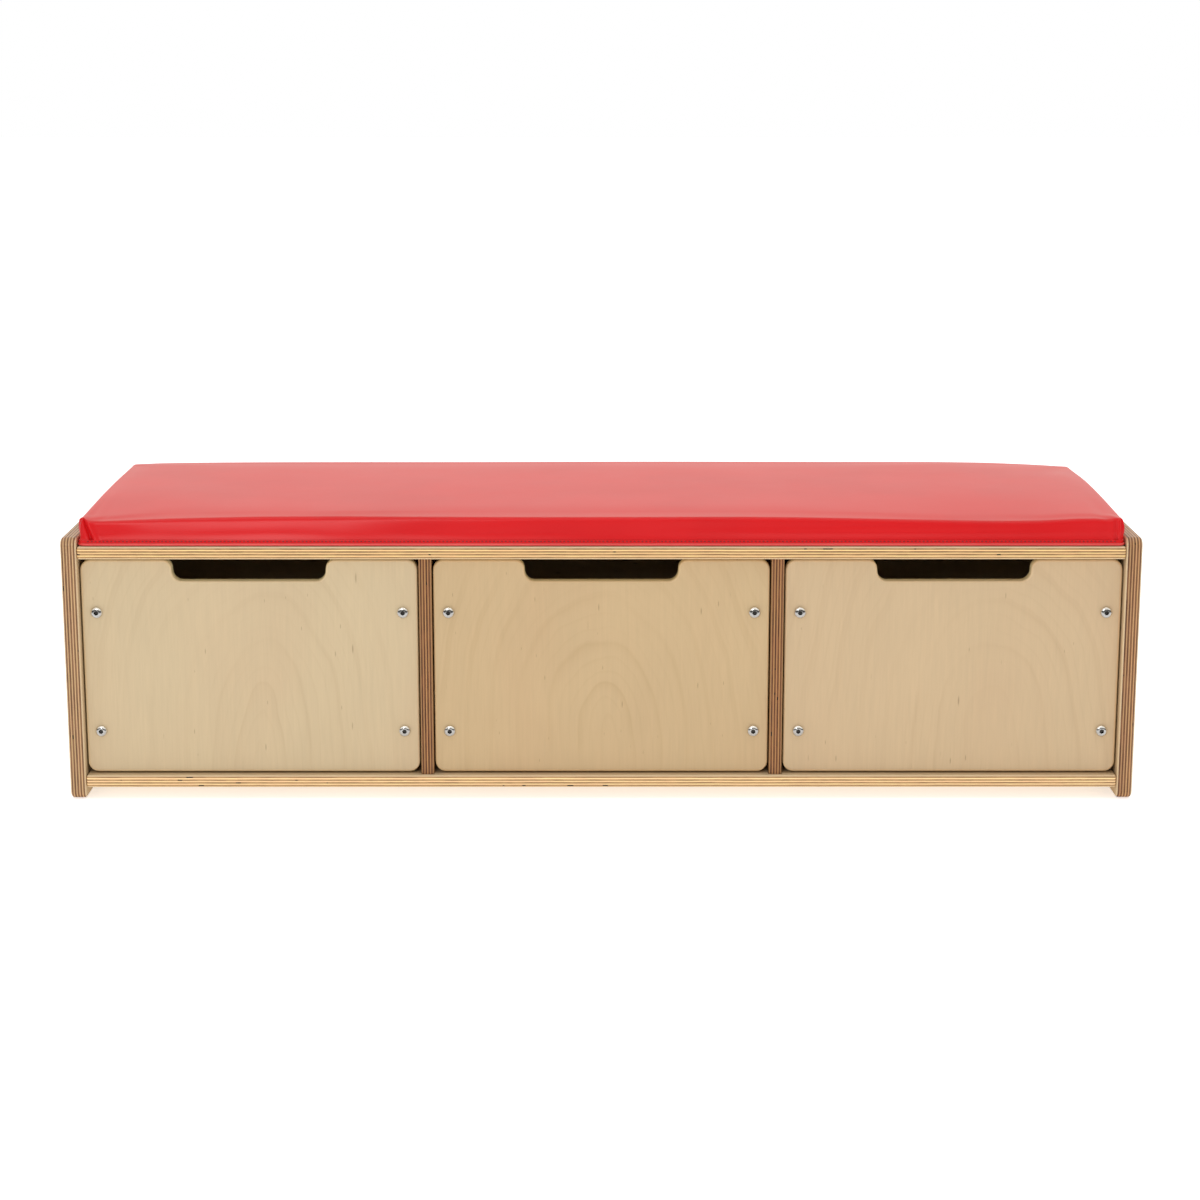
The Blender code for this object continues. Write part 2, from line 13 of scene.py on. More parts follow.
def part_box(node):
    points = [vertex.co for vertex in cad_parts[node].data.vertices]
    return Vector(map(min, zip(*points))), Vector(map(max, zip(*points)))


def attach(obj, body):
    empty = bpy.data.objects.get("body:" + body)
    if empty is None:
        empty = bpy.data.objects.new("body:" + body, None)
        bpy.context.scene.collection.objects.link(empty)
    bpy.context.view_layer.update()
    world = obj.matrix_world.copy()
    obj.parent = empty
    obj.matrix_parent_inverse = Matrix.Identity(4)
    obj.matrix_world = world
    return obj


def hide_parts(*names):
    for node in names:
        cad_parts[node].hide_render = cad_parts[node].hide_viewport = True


LOG = logging.getLogger("bench")
MM = 0.001
BAYS = ("left", "middle", "right")

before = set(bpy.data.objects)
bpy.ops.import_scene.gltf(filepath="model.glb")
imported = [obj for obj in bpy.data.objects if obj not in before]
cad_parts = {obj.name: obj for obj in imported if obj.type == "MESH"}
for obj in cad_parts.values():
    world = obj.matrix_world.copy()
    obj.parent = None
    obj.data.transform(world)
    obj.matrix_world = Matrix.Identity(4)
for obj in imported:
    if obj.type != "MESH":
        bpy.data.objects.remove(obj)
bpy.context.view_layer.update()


# ---------------------------------------------------------------- plain geometry


class Axis(Enum):
    """A direction of the bench's frame."""

    X = 0
    Y = 1
    Z = 2


@dataclass(frozen=True)
class Box:
    """A box between two corners, in metres."""

    low: Vector
    high: Vector

    @classmethod
    def of(cls, node: str) -> "Box":
        """Return the box of a frame node at rest."""
        low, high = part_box(node)
        return cls(Vector(low), Vector(high))

    @property
    def size(self) -> Vector:
        """The box's extents."""
        return self.high - self.low

    @property
    def centre(self) -> Vector:
        """The box's middle."""
        return (self.high + self.low) / 2

    def solid(self) -> bmesh.types.BMesh:
        """Return the box as a bmesh."""
        shape = bmesh.new()
        bmesh.ops.create_cube(shape, size=1.0)
        bmesh.ops.scale(shape, vec=self.size, verts=shape.verts)
        bmesh.ops.translate(shape, vec=self.centre, verts=shape.verts)
        return shape


def round_edges(shape: bmesh.types.BMesh, edges: list, radius: float, segments: int) -> None:
    """Round edges of a bmesh.

    Args:
        shape: The bmesh.
        edges: The edges to round.
        radius: The radius, in metres.
        segments: The number of strips across each round.
    """
    bmesh.ops.bevel(shape, geom=edges, offset=radius, offset_type="OFFSET", segments=segments,
                    profile=0.5, affect="EDGES", material=-1, clamp_overlap=True)


def edges_along(shape: bmesh.types.BMesh, axis: Axis) -> list:
    """Return the edges of a bmesh that run along an axis.

    Args:
        shape: The bmesh.
        axis: The direction.

    Returns:
        The edges.
    """
    found = []
    for edge in shape.edges:
        run = edge.verts[1].co - edge.verts[0].co
        if abs(run[axis.value]) > 0.99 * run.length:
            found.append(edge)
    return found


def rim_edges(shape: bmesh.types.BMesh, axis: Axis) -> list:
    """Return the edges round the two flat ends that face along an axis.

    Args:
        shape: The bmesh.
        axis: The direction that the two ends face.

    Returns:
        The edges.
    """
    shape.normal_update()
    found = []
    for edge in shape.edges:
        ends = [abs(face.normal[axis.value]) > 0.99 for face in edge.link_faces]
        if len(ends) == 2 and ends[0] != ends[1]:
            found.append(edge)
    return found


def rod(start: Vector, end: Vector, radius: float, sides: int = 32) -> bmesh.types.BMesh:
    """Return a capped rod between two points.

    Args:
        start: The middle of one end.
        end: The middle of the other end.
        radius: The rod's radius.
        sides: The number of sides.

    Returns:
        The rod as a bmesh.
    """
    run = end - start
    turn = run.to_track_quat("Z", "Y").to_matrix().to_4x4()
    place = Matrix.Translation((start + end) / 2) @ turn
    shape = bmesh.new()
    bmesh.ops.create_cone(shape, cap_ends=True, segments=sides, radius1=radius, radius2=radius,
                          depth=run.length, matrix=place)
    return shape


def to_mesh(shape: bmesh.types.BMesh, name: str) -> bpy.types.Mesh:
    """Turn a bmesh into a mesh and free it.

    Args:
        shape: The bmesh.
        name: The mesh's name.

    Returns:
        The mesh.
    """
    mesh = bpy.data.meshes.new(name)
    shape.to_mesh(mesh)
    shape.free()
    return mesh


def evaluated_mesh(item: bpy.types.Object) -> bpy.types.Mesh:
    """Return an object's mesh with its modifiers applied.

    Args:
        item: The object.

    Returns:
        A new mesh.
    """
    bpy.context.view_layer.update()
    graph = bpy.context.evaluated_depsgraph_get()
    return bpy.data.meshes.new_from_object(item.evaluated_get(graph))


def carve(mesh: bpy.types.Mesh, cutters: list[bmesh.types.BMesh]) -> bpy.types.Mesh:
    """Cut shapes out of a mesh.

    Args:
        mesh: The mesh, which is removed.
        cutters: The shapes to take away, which are freed.

    Returns:
        The cut mesh.
    """
    block = bpy.data.objects.new("block", mesh)
    bpy.context.scene.collection.objects.link(block)
    tools = []
    for cutter in cutters:
        bmesh.ops.recalc_face_normals(cutter, faces=cutter.faces)
        tool = bpy.data.objects.new("tool", to_mesh(cutter, "tool"))
        bpy.context.scene.collection.objects.link(tool)
        cut = block.modifiers.new("cut", "BOOLEAN")
        cut.operation = "DIFFERENCE"
        cut.solver = "EXACT"
        cut.object = tool
        tools.append(tool)
    result = evaluated_mesh(block)
    for item in [block] + tools:
        old = item.data
        bpy.data.objects.remove(item, do_unlink=True)
        bpy.data.meshes.remove(old)
    return result


@dataclass(frozen=True)
class Mount:
    """Where a new piece belongs: its body, its slot name and the nodes it stands for."""

    body: str
    slot: str
    nodes: tuple[str, ...] = ()

    def fix(self, name: str, mesh: bpy.types.Mesh, material: bpy.types.Material,
            crisp: bool = True) -> bpy.types.Object:
        """Make a mesh a piece of the bench.

        Args:
            name: The piece's name.
            mesh: Its mesh, already in place.
            material: Its finish.
            crisp: Whether its flat faces shade flat between its rounds.

        Returns:
            The piece.
        """
        mesh.name = name
        mesh.materials.clear()
        mesh.materials.append(material)
        mesh.polygons.foreach_set("material_index", [0] * len(mesh.polygons))
        mesh.shade_smooth()
        piece = bpy.data.objects.new(name, mesh)
        bpy.context.scene.collection.objects.link(piece)
        if crisp:
            mesh.set_sharp_from_angle(angle=math.radians(38))
            flat = piece.modifiers.new("flat_faces", "WEIGHTED_NORMAL")
            flat.keep_sharp = True
            flat.weight = 100
        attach(piece, self.body)
        if self.nodes:
            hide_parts(*self.nodes)
        LOG.info("%s rides on %s", name, self.body)
        return piece


# ---------------------------------------------------------------- shader building


class Graph:
    """A node tree with short methods that add and join its nodes."""

    def __init__(self, tree: bpy.types.NodeTree) -> None:
        """Hold a tree."""
        self.tree = tree

    def add(self, kind: str, inputs: dict | None = None, **settings) -> bpy.types.Node:
        """Add a node.

        Args:
            kind: The node's type name, without its ShaderNode prefix.
            inputs: Values or sockets for its inputs, by name or index.
            **settings: Its properties.

        Returns:
            The node.
        """
        node = self.tree.nodes.new("ShaderNode" + kind)
        for name, value in settings.items():
            setattr(node, name, value)
        for key, value in (inputs or {}).items():
            if isinstance(value, bpy.types.NodeSocket):
                self.tree.links.new(value, node.inputs[key])
            else:
                node.inputs[key].default_value = value
        return node

    def math(self, operation: str, first, second=0.0, third=0.0) -> bpy.types.NodeSocket:
        """Return the result of a Math node."""
        node = self.add("Math", {0: first, 1: second, 2: third}, operation=operation)
        return node.outputs[0]

    def vector(self, operation: str, first, second) -> bpy.types.NodeSocket:
        """Return the vector result of a Vector Math node."""
        node = self.add("VectorMath", {0: first, 1: second}, operation=operation)
        return node.outputs["Vector"]

    def noise(self, vector, scale: float, detail: float = 2.0,
              roughness: float = 0.5) -> bpy.types.NodeSocket:
        """Return a noise value from 0 to 1."""
        inputs = {"Vector": vector, "Scale": scale, "Detail": detail, "Roughness": roughness}
        return self.add("TexNoise", inputs).outputs[0]

    def stretch(self, vector, factors: tuple[float, float, float]) -> bpy.types.NodeSocket:
        """Return a vector scaled along each axis."""
        return self.vector("MULTIPLY", vector, factors)

    def mix(self, factor, first, second) -> bpy.types.NodeSocket:
        """Return a mix of two colours."""
        node = self.tree.nodes.new("ShaderNodeMix")
        node.data_type = "RGBA"
        for index, value in ((0, factor), (6, first), (7, second)):
            if isinstance(value, bpy.types.NodeSocket):
                self.tree.links.new(value, node.inputs[index])
            else:
                node.inputs[index].default_value = value
        return node.outputs[2]

    def scale_colour(self, colour, value) -> bpy.types.NodeSocket:
        """Return a colour times a value."""
        return self.add("VectorMath", {0: colour, "Scale": value}, operation="SCALE").outputs[0]

    def smooth(self, value, low: float, high: float) -> bpy.types.NodeSocket:
        """Return 0 below low, 1 above high, and a smooth step between them."""
        inputs = {"Value": value, "From Min": low, "From Max": high}
        return self.add("MapRange", inputs, interpolation_type="SMOOTHSTEP").outputs[0]


def rgba(red: float, green: float, blue: float) -> tuple[float, float, float, float]:
    """Return a linear colour with full alpha."""
    return (red, green, blue, 1.0)


class ShaderGroup:
    """A node group that more than one material uses, built once."""

    name = "group"
    takes: dict[str, tuple[str, object]] = {}
    gives: dict[str, str] = {}

    @classmethod
    def tree(cls) -> bpy.types.NodeTree:
        """Return the group's tree, and build it the first time.

        Returns:
            The node tree.
        """
        found = bpy.data.node_groups.get(cls.name)
        if found:
            return found
        tree = bpy.data.node_groups.new(cls.name, "ShaderNodeTree")
        for socket, (kind, default) in cls.takes.items():
            item = tree.interface.new_socket(socket, in_out="INPUT", socket_type=kind)
            if default is not None:
                item.default_value = default
        for socket, kind in cls.gives.items():
            tree.interface.new_socket(socket, in_out="OUTPUT", socket_type=kind)
        source = tree.nodes.new("NodeGroupInput")
        target = tree.nodes.new("NodeGroupOutput")
        for socket, value in cls.wire(Graph(tree), source.outputs).items():
            tree.links.new(value, target.inputs[socket])
        return tree

    @classmethod
    def wire(cls, graph: Graph, given) -> dict:
        """Wire the group and return the socket for each output."""
        raise NotImplementedError

    @classmethod
    def place(cls, graph: Graph, inputs: dict) -> bpy.types.Node:
        """Place the group in a material.

        Args:
            graph: The material's graph.
            inputs: Values or sockets for the group's inputs.

        Returns:
            The group node.
        """
        node = graph.tree.nodes.new("ShaderNodeGroup")
        node.node_tree = cls.tree()
        for key, value in inputs.items():
            if isinstance(value, bpy.types.NodeSocket):
                graph.tree.links.new(value, node.inputs[key])
            else:
                node.inputs[key].default_value = value
        return node


class BirchFigure(ShaderGroup):
    """The face of rotary-cut birch veneer: nested arches, fine fibres and short dark flecks."""

    name = "birch_figure"
    takes = {"Vector": ("NodeSocketVector", None), "Seed": ("NodeSocketFloat", 0.0)}
    gives = {"Color": "NodeSocketColor", "Height": "NodeSocketFloat"}

    LIGHT = rgba(0.660, 0.500, 0.305)
    LATE = rgba(0.520, 0.355, 0.195)
    WARM = rgba(0.645, 0.455, 0.275)
    FLECK = rgba(0.25, 0.14, 0.07)
    RINGS_PER_METRE = 38.0
    EYE_RATE = 10.5
    EYE_HEIGHT = 0.06

    @classmethod
    def wire(cls, graph: Graph, given) -> dict:
        """Wire the veneer: rings round long eyes that follow the grain (local Z)."""
        shift = graph.add("CombineXYZ", {"X": given["Seed"], "Z": given["Seed"]}).outputs[0]
        place = graph.vector("ADD", given["Vector"], shift)
        flow = graph.stretch(place, (1.0, 0.0, 0.5))
        colour, contour = cls.arches(graph, given, place, flow)
        tone = graph.smooth(graph.noise(flow, 9.0, 3.0), 0.40, 0.75)
        colour = graph.mix(graph.math("MULTIPLY", tone, 0.5), colour, cls.WARM)
        fibre = graph.noise(graph.stretch(place, (1.0, 0.3, 0.035)), 620.0, 3.0, 0.6)
        pore = graph.noise(graph.stretch(place, (1.0, 0.3, 0.10)), 260.0, 2.0, 0.5)
        shade = graph.math("ADD", graph.math("MULTIPLY", fibre, 0.10),
                           graph.math("MULTIPLY", pore, 0.07))
        shade = graph.math("ADD", shade, 0.915)
        cloud = graph.noise(graph.stretch(place, (1.0, 0.0, 0.6)), 14.0, 2.0)
        shade = graph.math("MULTIPLY", shade, graph.math("MULTIPLY_ADD", cloud, 0.09, 0.955))
        colour = graph.scale_colour(colour, shade)
        spot = graph.add("SeparateXYZ", {0: place}).outputs
        flat = graph.add("CombineXYZ", {"X": spot["X"], "Y": graph.math("MULTIPLY", spot["Z"], 0.16)})
        cells = graph.add("TexVoronoi", {"Vector": flat.outputs[0], "Scale": 75.0},
                          voronoi_dimensions="2D")
        chosen = graph.smooth(graph.noise(cells.outputs["Position"], 31.0, 0.0), 0.50, 0.62)
        small = graph.math("MULTIPLY_ADD", cells.outputs["Color"], 2.2, 0.2)
        gap = graph.math("MULTIPLY", cells.outputs["Distance"], small)
        fleck = graph.math("SUBTRACT", 1.0, graph.smooth(gap, 0.010, 0.045))
        fleck = graph.math("MULTIPLY", fleck, chosen)
        colour = graph.mix(graph.math("MULTIPLY", fleck, 0.50), colour, cls.FLECK)
        height = graph.math("SUBTRACT", graph.math("ADD", graph.math("MULTIPLY", fibre, 0.5),
                                                   graph.math("MULTIPLY", contour, 0.4)), fleck)
        return {"Color": colour, "Height": height}

    @classmethod
    def arches(cls, graph: Graph, given, place, flow) -> tuple:
        """Return the colour of the nested rings, and how strongly each spot shows late wood."""
        spot = graph.add("SeparateXYZ", {0: given["Vector"]}).outputs
        lean = graph.math("MULTIPLY", graph.math("SINE", given["Seed"]), 0.05)
        sway = graph.math("SUBTRACT", graph.noise(flow, 7.0, 2.0, 0.45), 0.5)
        out = graph.math("ADD", graph.math("ADD", spot["X"], lean),
                         graph.math("MULTIPLY", sway, 0.055))
        turn = graph.math("MULTIPLY", graph.math("ADD", spot["Z"], 0.11), cls.EYE_RATE)
        rise = graph.math("MULTIPLY_ADD", graph.math("COSINE", turn), -cls.EYE_HEIGHT,
                          cls.EYE_HEIGHT)
        swell = graph.math("SUBTRACT", graph.noise(place, 9.0, 2.5, 0.5), 0.5)
        rise = graph.math("MULTIPLY_ADD", swell, 0.035, rise)
        square = graph.math("MULTIPLY_ADD", out, out, graph.math("MULTIPLY", rise, rise))
        field = graph.math("SQRT", square)
        waver = graph.math("SUBTRACT", graph.noise(flow, 34.0, 2.0, 0.5), 0.5)
        field = graph.math("MULTIPLY_ADD", waver, 0.006, field)
        coarse = cls.late_wood(graph, field, cls.RINGS_PER_METRE)
        fine = cls.late_wood(graph, field, 3.1 * cls.RINGS_PER_METRE)
        line = graph.math("MULTIPLY_ADD", fine, 0.55, coarse)
        strength = graph.smooth(graph.noise(place, 8.0, 2.0), 0.36, 0.68)
        contour = graph.math("MULTIPLY", line, graph.math("MULTIPLY_ADD", strength, 0.17, 0.04))
        return graph.mix(contour, cls.LIGHT, cls.LATE), contour

    @staticmethod
    def late_wood(graph: Graph, field, rate: float) -> bpy.types.NodeSocket:
        """Return thin lines that darken slowly and end sharply, at a rate per metre."""
        rings = graph.math("FRACT", graph.math("MULTIPLY", field, rate))
        late = graph.smooth(rings, 0.58, 0.93)
        edge = graph.math("SUBTRACT", 1.0, graph.smooth(rings, 0.93, 1.0))
        return graph.math("MULTIPLY", graph.math("MULTIPLY", late, late), edge)


class PlyEdges(ShaderGroup):
    """The sawn edge of a sheet: light and dark veneers in turn, glue lines and small voids."""

    name = "ply_edges"
    takes = {"Vector": ("NodeSocketVector", None), "Thickness": ("NodeSocketFloat", 0.012),
             "Plies": ("NodeSocketFloat", 9.0), "Seed": ("NodeSocketFloat", 0.0),
             "Depth": ("NodeSocketFloat", 1.0)}
    gives = {"Color": "NodeSocketColor", "Height": "NodeSocketFloat", "Face": "NodeSocketFloat",
             "SandedHighlight": "NodeSocketFloat"}

    LIGHT = rgba(0.87, 0.65, 0.33)
    CREAM = rgba(0.86, 0.60, 0.32)
    HONEY = rgba(0.66, 0.44, 0.20)
    BROWN = rgba(0.27, 0.140, 0.060)
    TAN = rgba(0.44, 0.250, 0.115)
    GLUE = rgba(0.19, 0.095, 0.040)
    # painted shade: the near-black colour of the core voids
    VOID = rgba(0.035, 0.018, 0.010)

    @classmethod
    def wire(cls, graph: Graph, given) -> dict:
        """Wire the veneers across the sheet's thickness (local Y)."""
        place = given["Vector"]
        parts = graph.add("SeparateXYZ", {0: place})
        wander = graph.noise(graph.stretch(place, (1.0, 0.0, 1.0)), 30.0, 2.0)
        wander = graph.math("MULTIPLY", graph.math("SUBTRACT", wander, 0.5), 0.30)
        level = graph.math("DIVIDE", parts.outputs["Y"], given["Thickness"])
        level = graph.math("MULTIPLY", graph.math("ADD", level, 0.5), given["Plies"])
        inner = graph.math("ADD", level, wander)
        index = graph.math("FLOOR", inner)
        part = graph.math("FRACT", inner)
        cross = graph.math("MODULO", index, 2.0)
        last = graph.math("SUBTRACT", given["Plies"], 1.0)
        low_face = graph.math("LESS_THAN", level, 1.0)
        face = graph.math("MAXIMUM", low_face, graph.math("GREATER_THAN", level, last))
        key = graph.math("ADD", index, graph.math("MULTIPLY", given["Seed"], 7.3))
        lots = graph.add("TexWhiteNoise", {"W": key}, noise_dimensions="1D").outputs["Value"]
        lift = graph.add("CombineXYZ", {"Y": graph.math("MULTIPLY", key, 3.7)}).outputs[0]
        sheet = graph.vector("ADD", graph.stretch(place, (1.0, 0.0, 1.0)), lift)
        streak = graph.noise(graph.stretch(sheet, (34.0, 1.0, 34.0)), 1.0, 3.0, 0.6)
        grain = graph.noise(graph.stretch(place, (90.0, 2600.0, 90.0)), 1.0, 2.0, 0.6)
        pale = graph.mix(graph.smooth(streak, 0.36, 0.62), cls.LIGHT, cls.CREAM)
        dark = graph.mix(graph.smooth(streak, 0.38, 0.62), cls.BROWN, cls.TAN)
        depth = graph.math("MULTIPLY", given["Depth"], graph.math("MULTIPLY_ADD", lots, 0.6, 0.7))
        deep = graph.mix(graph.math("MINIMUM", depth, 1.0), cls.HONEY, dark)
        colour = graph.mix(cross, pale, deep)
        tone = graph.math("MULTIPLY_ADD", lots, 0.20, 0.90)
        tone = graph.math("MULTIPLY", tone, graph.math("MULTIPLY_ADD", grain, 0.26, 0.88))
        colour = graph.scale_colour(colour, tone)
        rim = graph.math("MINIMUM", part, graph.math("SUBTRACT", 1.0, part))
        glue = graph.math("SUBTRACT", 1.0, graph.smooth(rim, 0.02, 0.13))
        mark = graph.math("MULTIPLY_ADD", given["Depth"], 0.40, 0.20)
        colour = graph.mix(graph.math("MULTIPLY", glue, mark), colour, cls.GLUE)
        gaps = graph.noise(graph.stretch(sheet, (85.0, 1.0, 85.0)), 1.0, 0.0)
        void = graph.smooth(gaps, 0.785, 0.800)
        void = graph.math("MULTIPLY", void, graph.smooth(rim, 0.05, 0.18))
        void = graph.math("MULTIPLY", void, cross)
        # painted shade: the small core voids are coloured near black for the shade inside them
        colour = graph.mix(void, colour, cls.VOID)
        height = graph.math("SUBTRACT", graph.math("MULTIPLY", grain, 0.35),
                            graph.math("ADD", graph.math("MULTIPLY", glue, 0.3), void))
        # painted highlight: where the edge rounds over, the face veneer is made lighter, partly as
        # wood sanded through, partly as the highlight a roundover catches
        inward = graph.math("MINIMUM", level, graph.math("SUBTRACT", given["Plies"], level))
        sanded_highlight = graph.smooth(inward, 0.03, 0.22)
        return {"Color": colour, "Height": height, "Face": face, "SandedHighlight": sanded_highlight}


class Grime(ShaderGroup):
    """A soft unevenness of gloss, as handling leaves it."""

    name = "handling"
    takes = {"Vector": ("NodeSocketVector", None), "Base": ("NodeSocketFloat", 0.4),
             "Spread": ("NodeSocketFloat", 0.1)}
    gives = {"Roughness": "NodeSocketFloat"}

    @classmethod
    def wire(cls, graph: Graph, given) -> dict:
        """Wire a cloudy value about the base roughness."""
        cloud = graph.noise(given["Vector"], 11.0, 4.0, 0.6)
        offset = graph.math("MULTIPLY", graph.math("SUBTRACT", cloud, 0.5), given["Spread"])
        return {"Roughness": graph.math("ADD", given["Base"], offset)}


def new_material(name: str) -> tuple[bpy.types.Material, Graph, bpy.types.Node]:
    """Return a new material, its graph and its Principled shader.

    Args:
        name: The material's name.

    Returns:
        The material, the graph and the shader node.
    """
    material = bpy.data.materials.new(name)
    material.use_nodes = True
    return material, Graph(material.node_tree), material.node_tree.nodes["Principled BSDF"]


@dataclass(frozen=True)
class Plywood:
    """Clear-lacquered birch plywood, cut from one sheet thickness."""

    plies: int
    roughness: float = 0.43
    coat: float = 0.10
    depth: float = 1.0
    # how much lighter the rounded edges are painted: partly sanded wood, partly painted highlight
    sanded_highlight: float = 0.14
    contrast: float = 1.0
    face_tone: tuple = (1.0, 1.0, 1.0)
    edge_tone: tuple = (1.0, 1.0, 1.0)

    def material(self, name: str, sheet: Box, facing: Axis, grain: Axis,
                 seed: float) -> bpy.types.Material:
        """Return the plywood of one panel.

        Args:
            name: The panel's name.
            sheet: The panel's box.
            facing: The axis across the panel's thickness.
            grain: The axis along the face's grain.
            seed: A number that moves the figure, different for each panel.

        Returns:
            The material.
        """
        material, graph, shader = new_material(name)
        across = ({0, 1, 2} - {facing.value, grain.value}).pop()
        turn = Matrix.Identity(3)
        for column, axis in enumerate((across, facing.value, grain.value)):
            turn.col[column] = Vector([float(axis == row) for row in range(3)])
        if turn.determinant() < 0:
            turn.col[0] = -turn.col[0]
        spot = graph.add("TexCoord").outputs["Object"]
        local = graph.add("Mapping", {"Vector": spot, "Location": sheet.centre,
                                      "Rotation": turn.to_euler()}, vector_type="TEXTURE")
        place = local.outputs[0]
        figure = BirchFigure.place(graph, {"Vector": place, "Seed": seed})
        edges = PlyEdges.place(graph, {"Vector": place, "Thickness": sheet.size[facing.value],
                                       "Plies": float(self.plies), "Seed": seed,
                                       "Depth": self.depth})
        face = edges.outputs["Face"]
        # painted highlight: the veneer is lifted lighter on the rounded edges, partly sanded wood,
        # partly highlight
        highlit_edge = graph.math("MULTIPLY_ADD", edges.outputs["SandedHighlight"], self.sanded_highlight, 1.0)
        veneer = graph.vector("MULTIPLY", figure.outputs["Color"], self.face_tone)
        cut = graph.add("Gamma", {"Color": edges.outputs["Color"], "Gamma": self.contrast})
        cut = graph.vector("MULTIPLY", cut.outputs[0], self.edge_tone)
        colour = graph.mix(face, cut, graph.scale_colour(veneer, highlit_edge))
        gloss = Grime.place(graph, {"Vector": place, "Base": self.roughness, "Spread": 0.16})
        height = graph.add("Mix", {0: face, 2: edges.outputs["Height"],
                                   3: figure.outputs["Height"]}, data_type="FLOAT").outputs[0]
        bump = graph.add("Bump", {"Height": height, "Strength": 0.22, "Distance": 0.0002})
        links = graph.tree.links
        links.new(colour, shader.inputs["Base Color"])
        links.new(gloss.outputs[0], shader.inputs["Roughness"])
        links.new(bump.outputs[0], shader.inputs["Normal"])
        shader.inputs["Coat Weight"].default_value = self.coat
        shader.inputs["Coat Roughness"].default_value = 0.28
        shader.inputs["Specular IOR Level"].default_value = 0.42
        return material


@dataclass(frozen=True)
class ZincSteel:
    """Bright zinc-plated steel."""

    colour: tuple = rgba(0.80, 0.79, 0.77)
    roughness: float = 0.12

    def material(self) -> bpy.types.Material:
        """Return the steel."""
        material, graph, shader = new_material("zinc_plated_steel_finish")
        spot = graph.add("TexCoord").outputs["Object"]
        haze = graph.noise(spot, 900.0, 3.0, 0.6)
        tint = graph.mix(graph.smooth(haze, 0.45, 0.8), self.colour, rgba(0.58, 0.57, 0.53))
        # painted shade: faces marked as the hex socket are coloured near black for the shade inside
        # it
        socket_shade = graph.add("Attribute", attribute_name="socket_shade").outputs["Fac"]
        tint = graph.mix(socket_shade, tint, rgba(0.07, 0.065, 0.06))
        gloss = Grime.place(graph, {"Vector": graph.stretch(spot, (40.0, 40.0, 40.0)),
                                    "Base": self.roughness, "Spread": 0.08})
        fine = graph.noise(spot, 2600.0, 2.0)
        bump = graph.add("Bump", {"Height": fine, "Strength": 0.06, "Distance": 0.0001})
        links = graph.tree.links
        links.new(tint, shader.inputs["Base Color"])
        links.new(gloss.outputs[0], shader.inputs["Roughness"])
        links.new(bump.outputs[0], shader.inputs["Normal"])
        shader.inputs["Metallic"].default_value = 1.0
        return material


@dataclass(frozen=True)
class Vinyl:
    """Red coated vinyl with a fine pressed grain and a broad soft gloss."""

    colour: tuple = rgba(0.73, 0.0055, 0.0085)
    deep: tuple = rgba(0.68, 0.0050, 0.0075)
    roughness: float = 0.31
    level: float = 0.34

    def material(self, name: str) -> bpy.types.Material:
        """Return the vinyl.

        Args:
            name: The material's name.

        Returns:
            The material.
        """
        material, graph, shader = new_material(name)
        spot = graph.add("TexCoord").outputs["Object"]
        cloud = graph.noise(spot, 9.0, 3.0)
        colour = graph.mix(graph.smooth(cloud, 0.35, 0.75), self.colour, self.deep)
        cells = graph.add("TexVoronoi", {"Vector": spot, "Scale": 850.0},
                          feature="SMOOTH_F1").outputs["Distance"]
        pebble = graph.noise(spot, 1500.0, 2.0)
        slack = graph.noise(graph.stretch(spot, (1.0, 1.0, 2.0)), 16.0, 2.0)
        grain = graph.math("MULTIPLY_ADD", pebble, 0.35, cells)
        fine = graph.add("Bump", {"Height": grain, "Strength": 0.18, "Distance": 0.00010})
        soft = graph.add("Bump", {"Height": slack, "Strength": 0.05, "Distance": 0.004,
                                  "Normal": fine.outputs[0]})
        gloss = Grime.place(graph, {"Vector": spot, "Base": self.roughness, "Spread": 0.05})
        links = graph.tree.links
        links.new(colour, shader.inputs["Base Color"])
        links.new(gloss.outputs[0], shader.inputs["Roughness"])
        links.new(soft.outputs[0], shader.inputs["Normal"])
        shader.inputs["Specular IOR Level"].default_value = self.level
        return material


@dataclass(frozen=True)
class Thread:
    """Twisted red sewing thread."""

    colour: tuple = rgba(0.17, 0.004, 0.004)

    def material(self) -> bpy.types.Material:
        """Return the thread."""
        material, graph, shader = new_material("red_thread_finish")
        spot = graph.add("TexCoord").outputs["Object"]
        twist = graph.add("TexWave", {"Vector": spot, "Scale": 420.0, "Distortion": 1.5},
                          bands_direction="DIAGONAL").outputs["Fac"]
        colour = graph.mix(twist, self.colour, rgba(0.26, 0.008, 0.008))
        bump = graph.add("Bump", {"Height": twist, "Strength": 0.4, "Distance": 0.0001})
        graph.tree.links.new(colour, shader.inputs["Base Color"])
        graph.tree.links.new(bump.outputs[0], shader.inputs["Normal"])
        shader.inputs["Roughness"].default_value = 0.55
        return material


# ---------------------------------------------------------------- panels


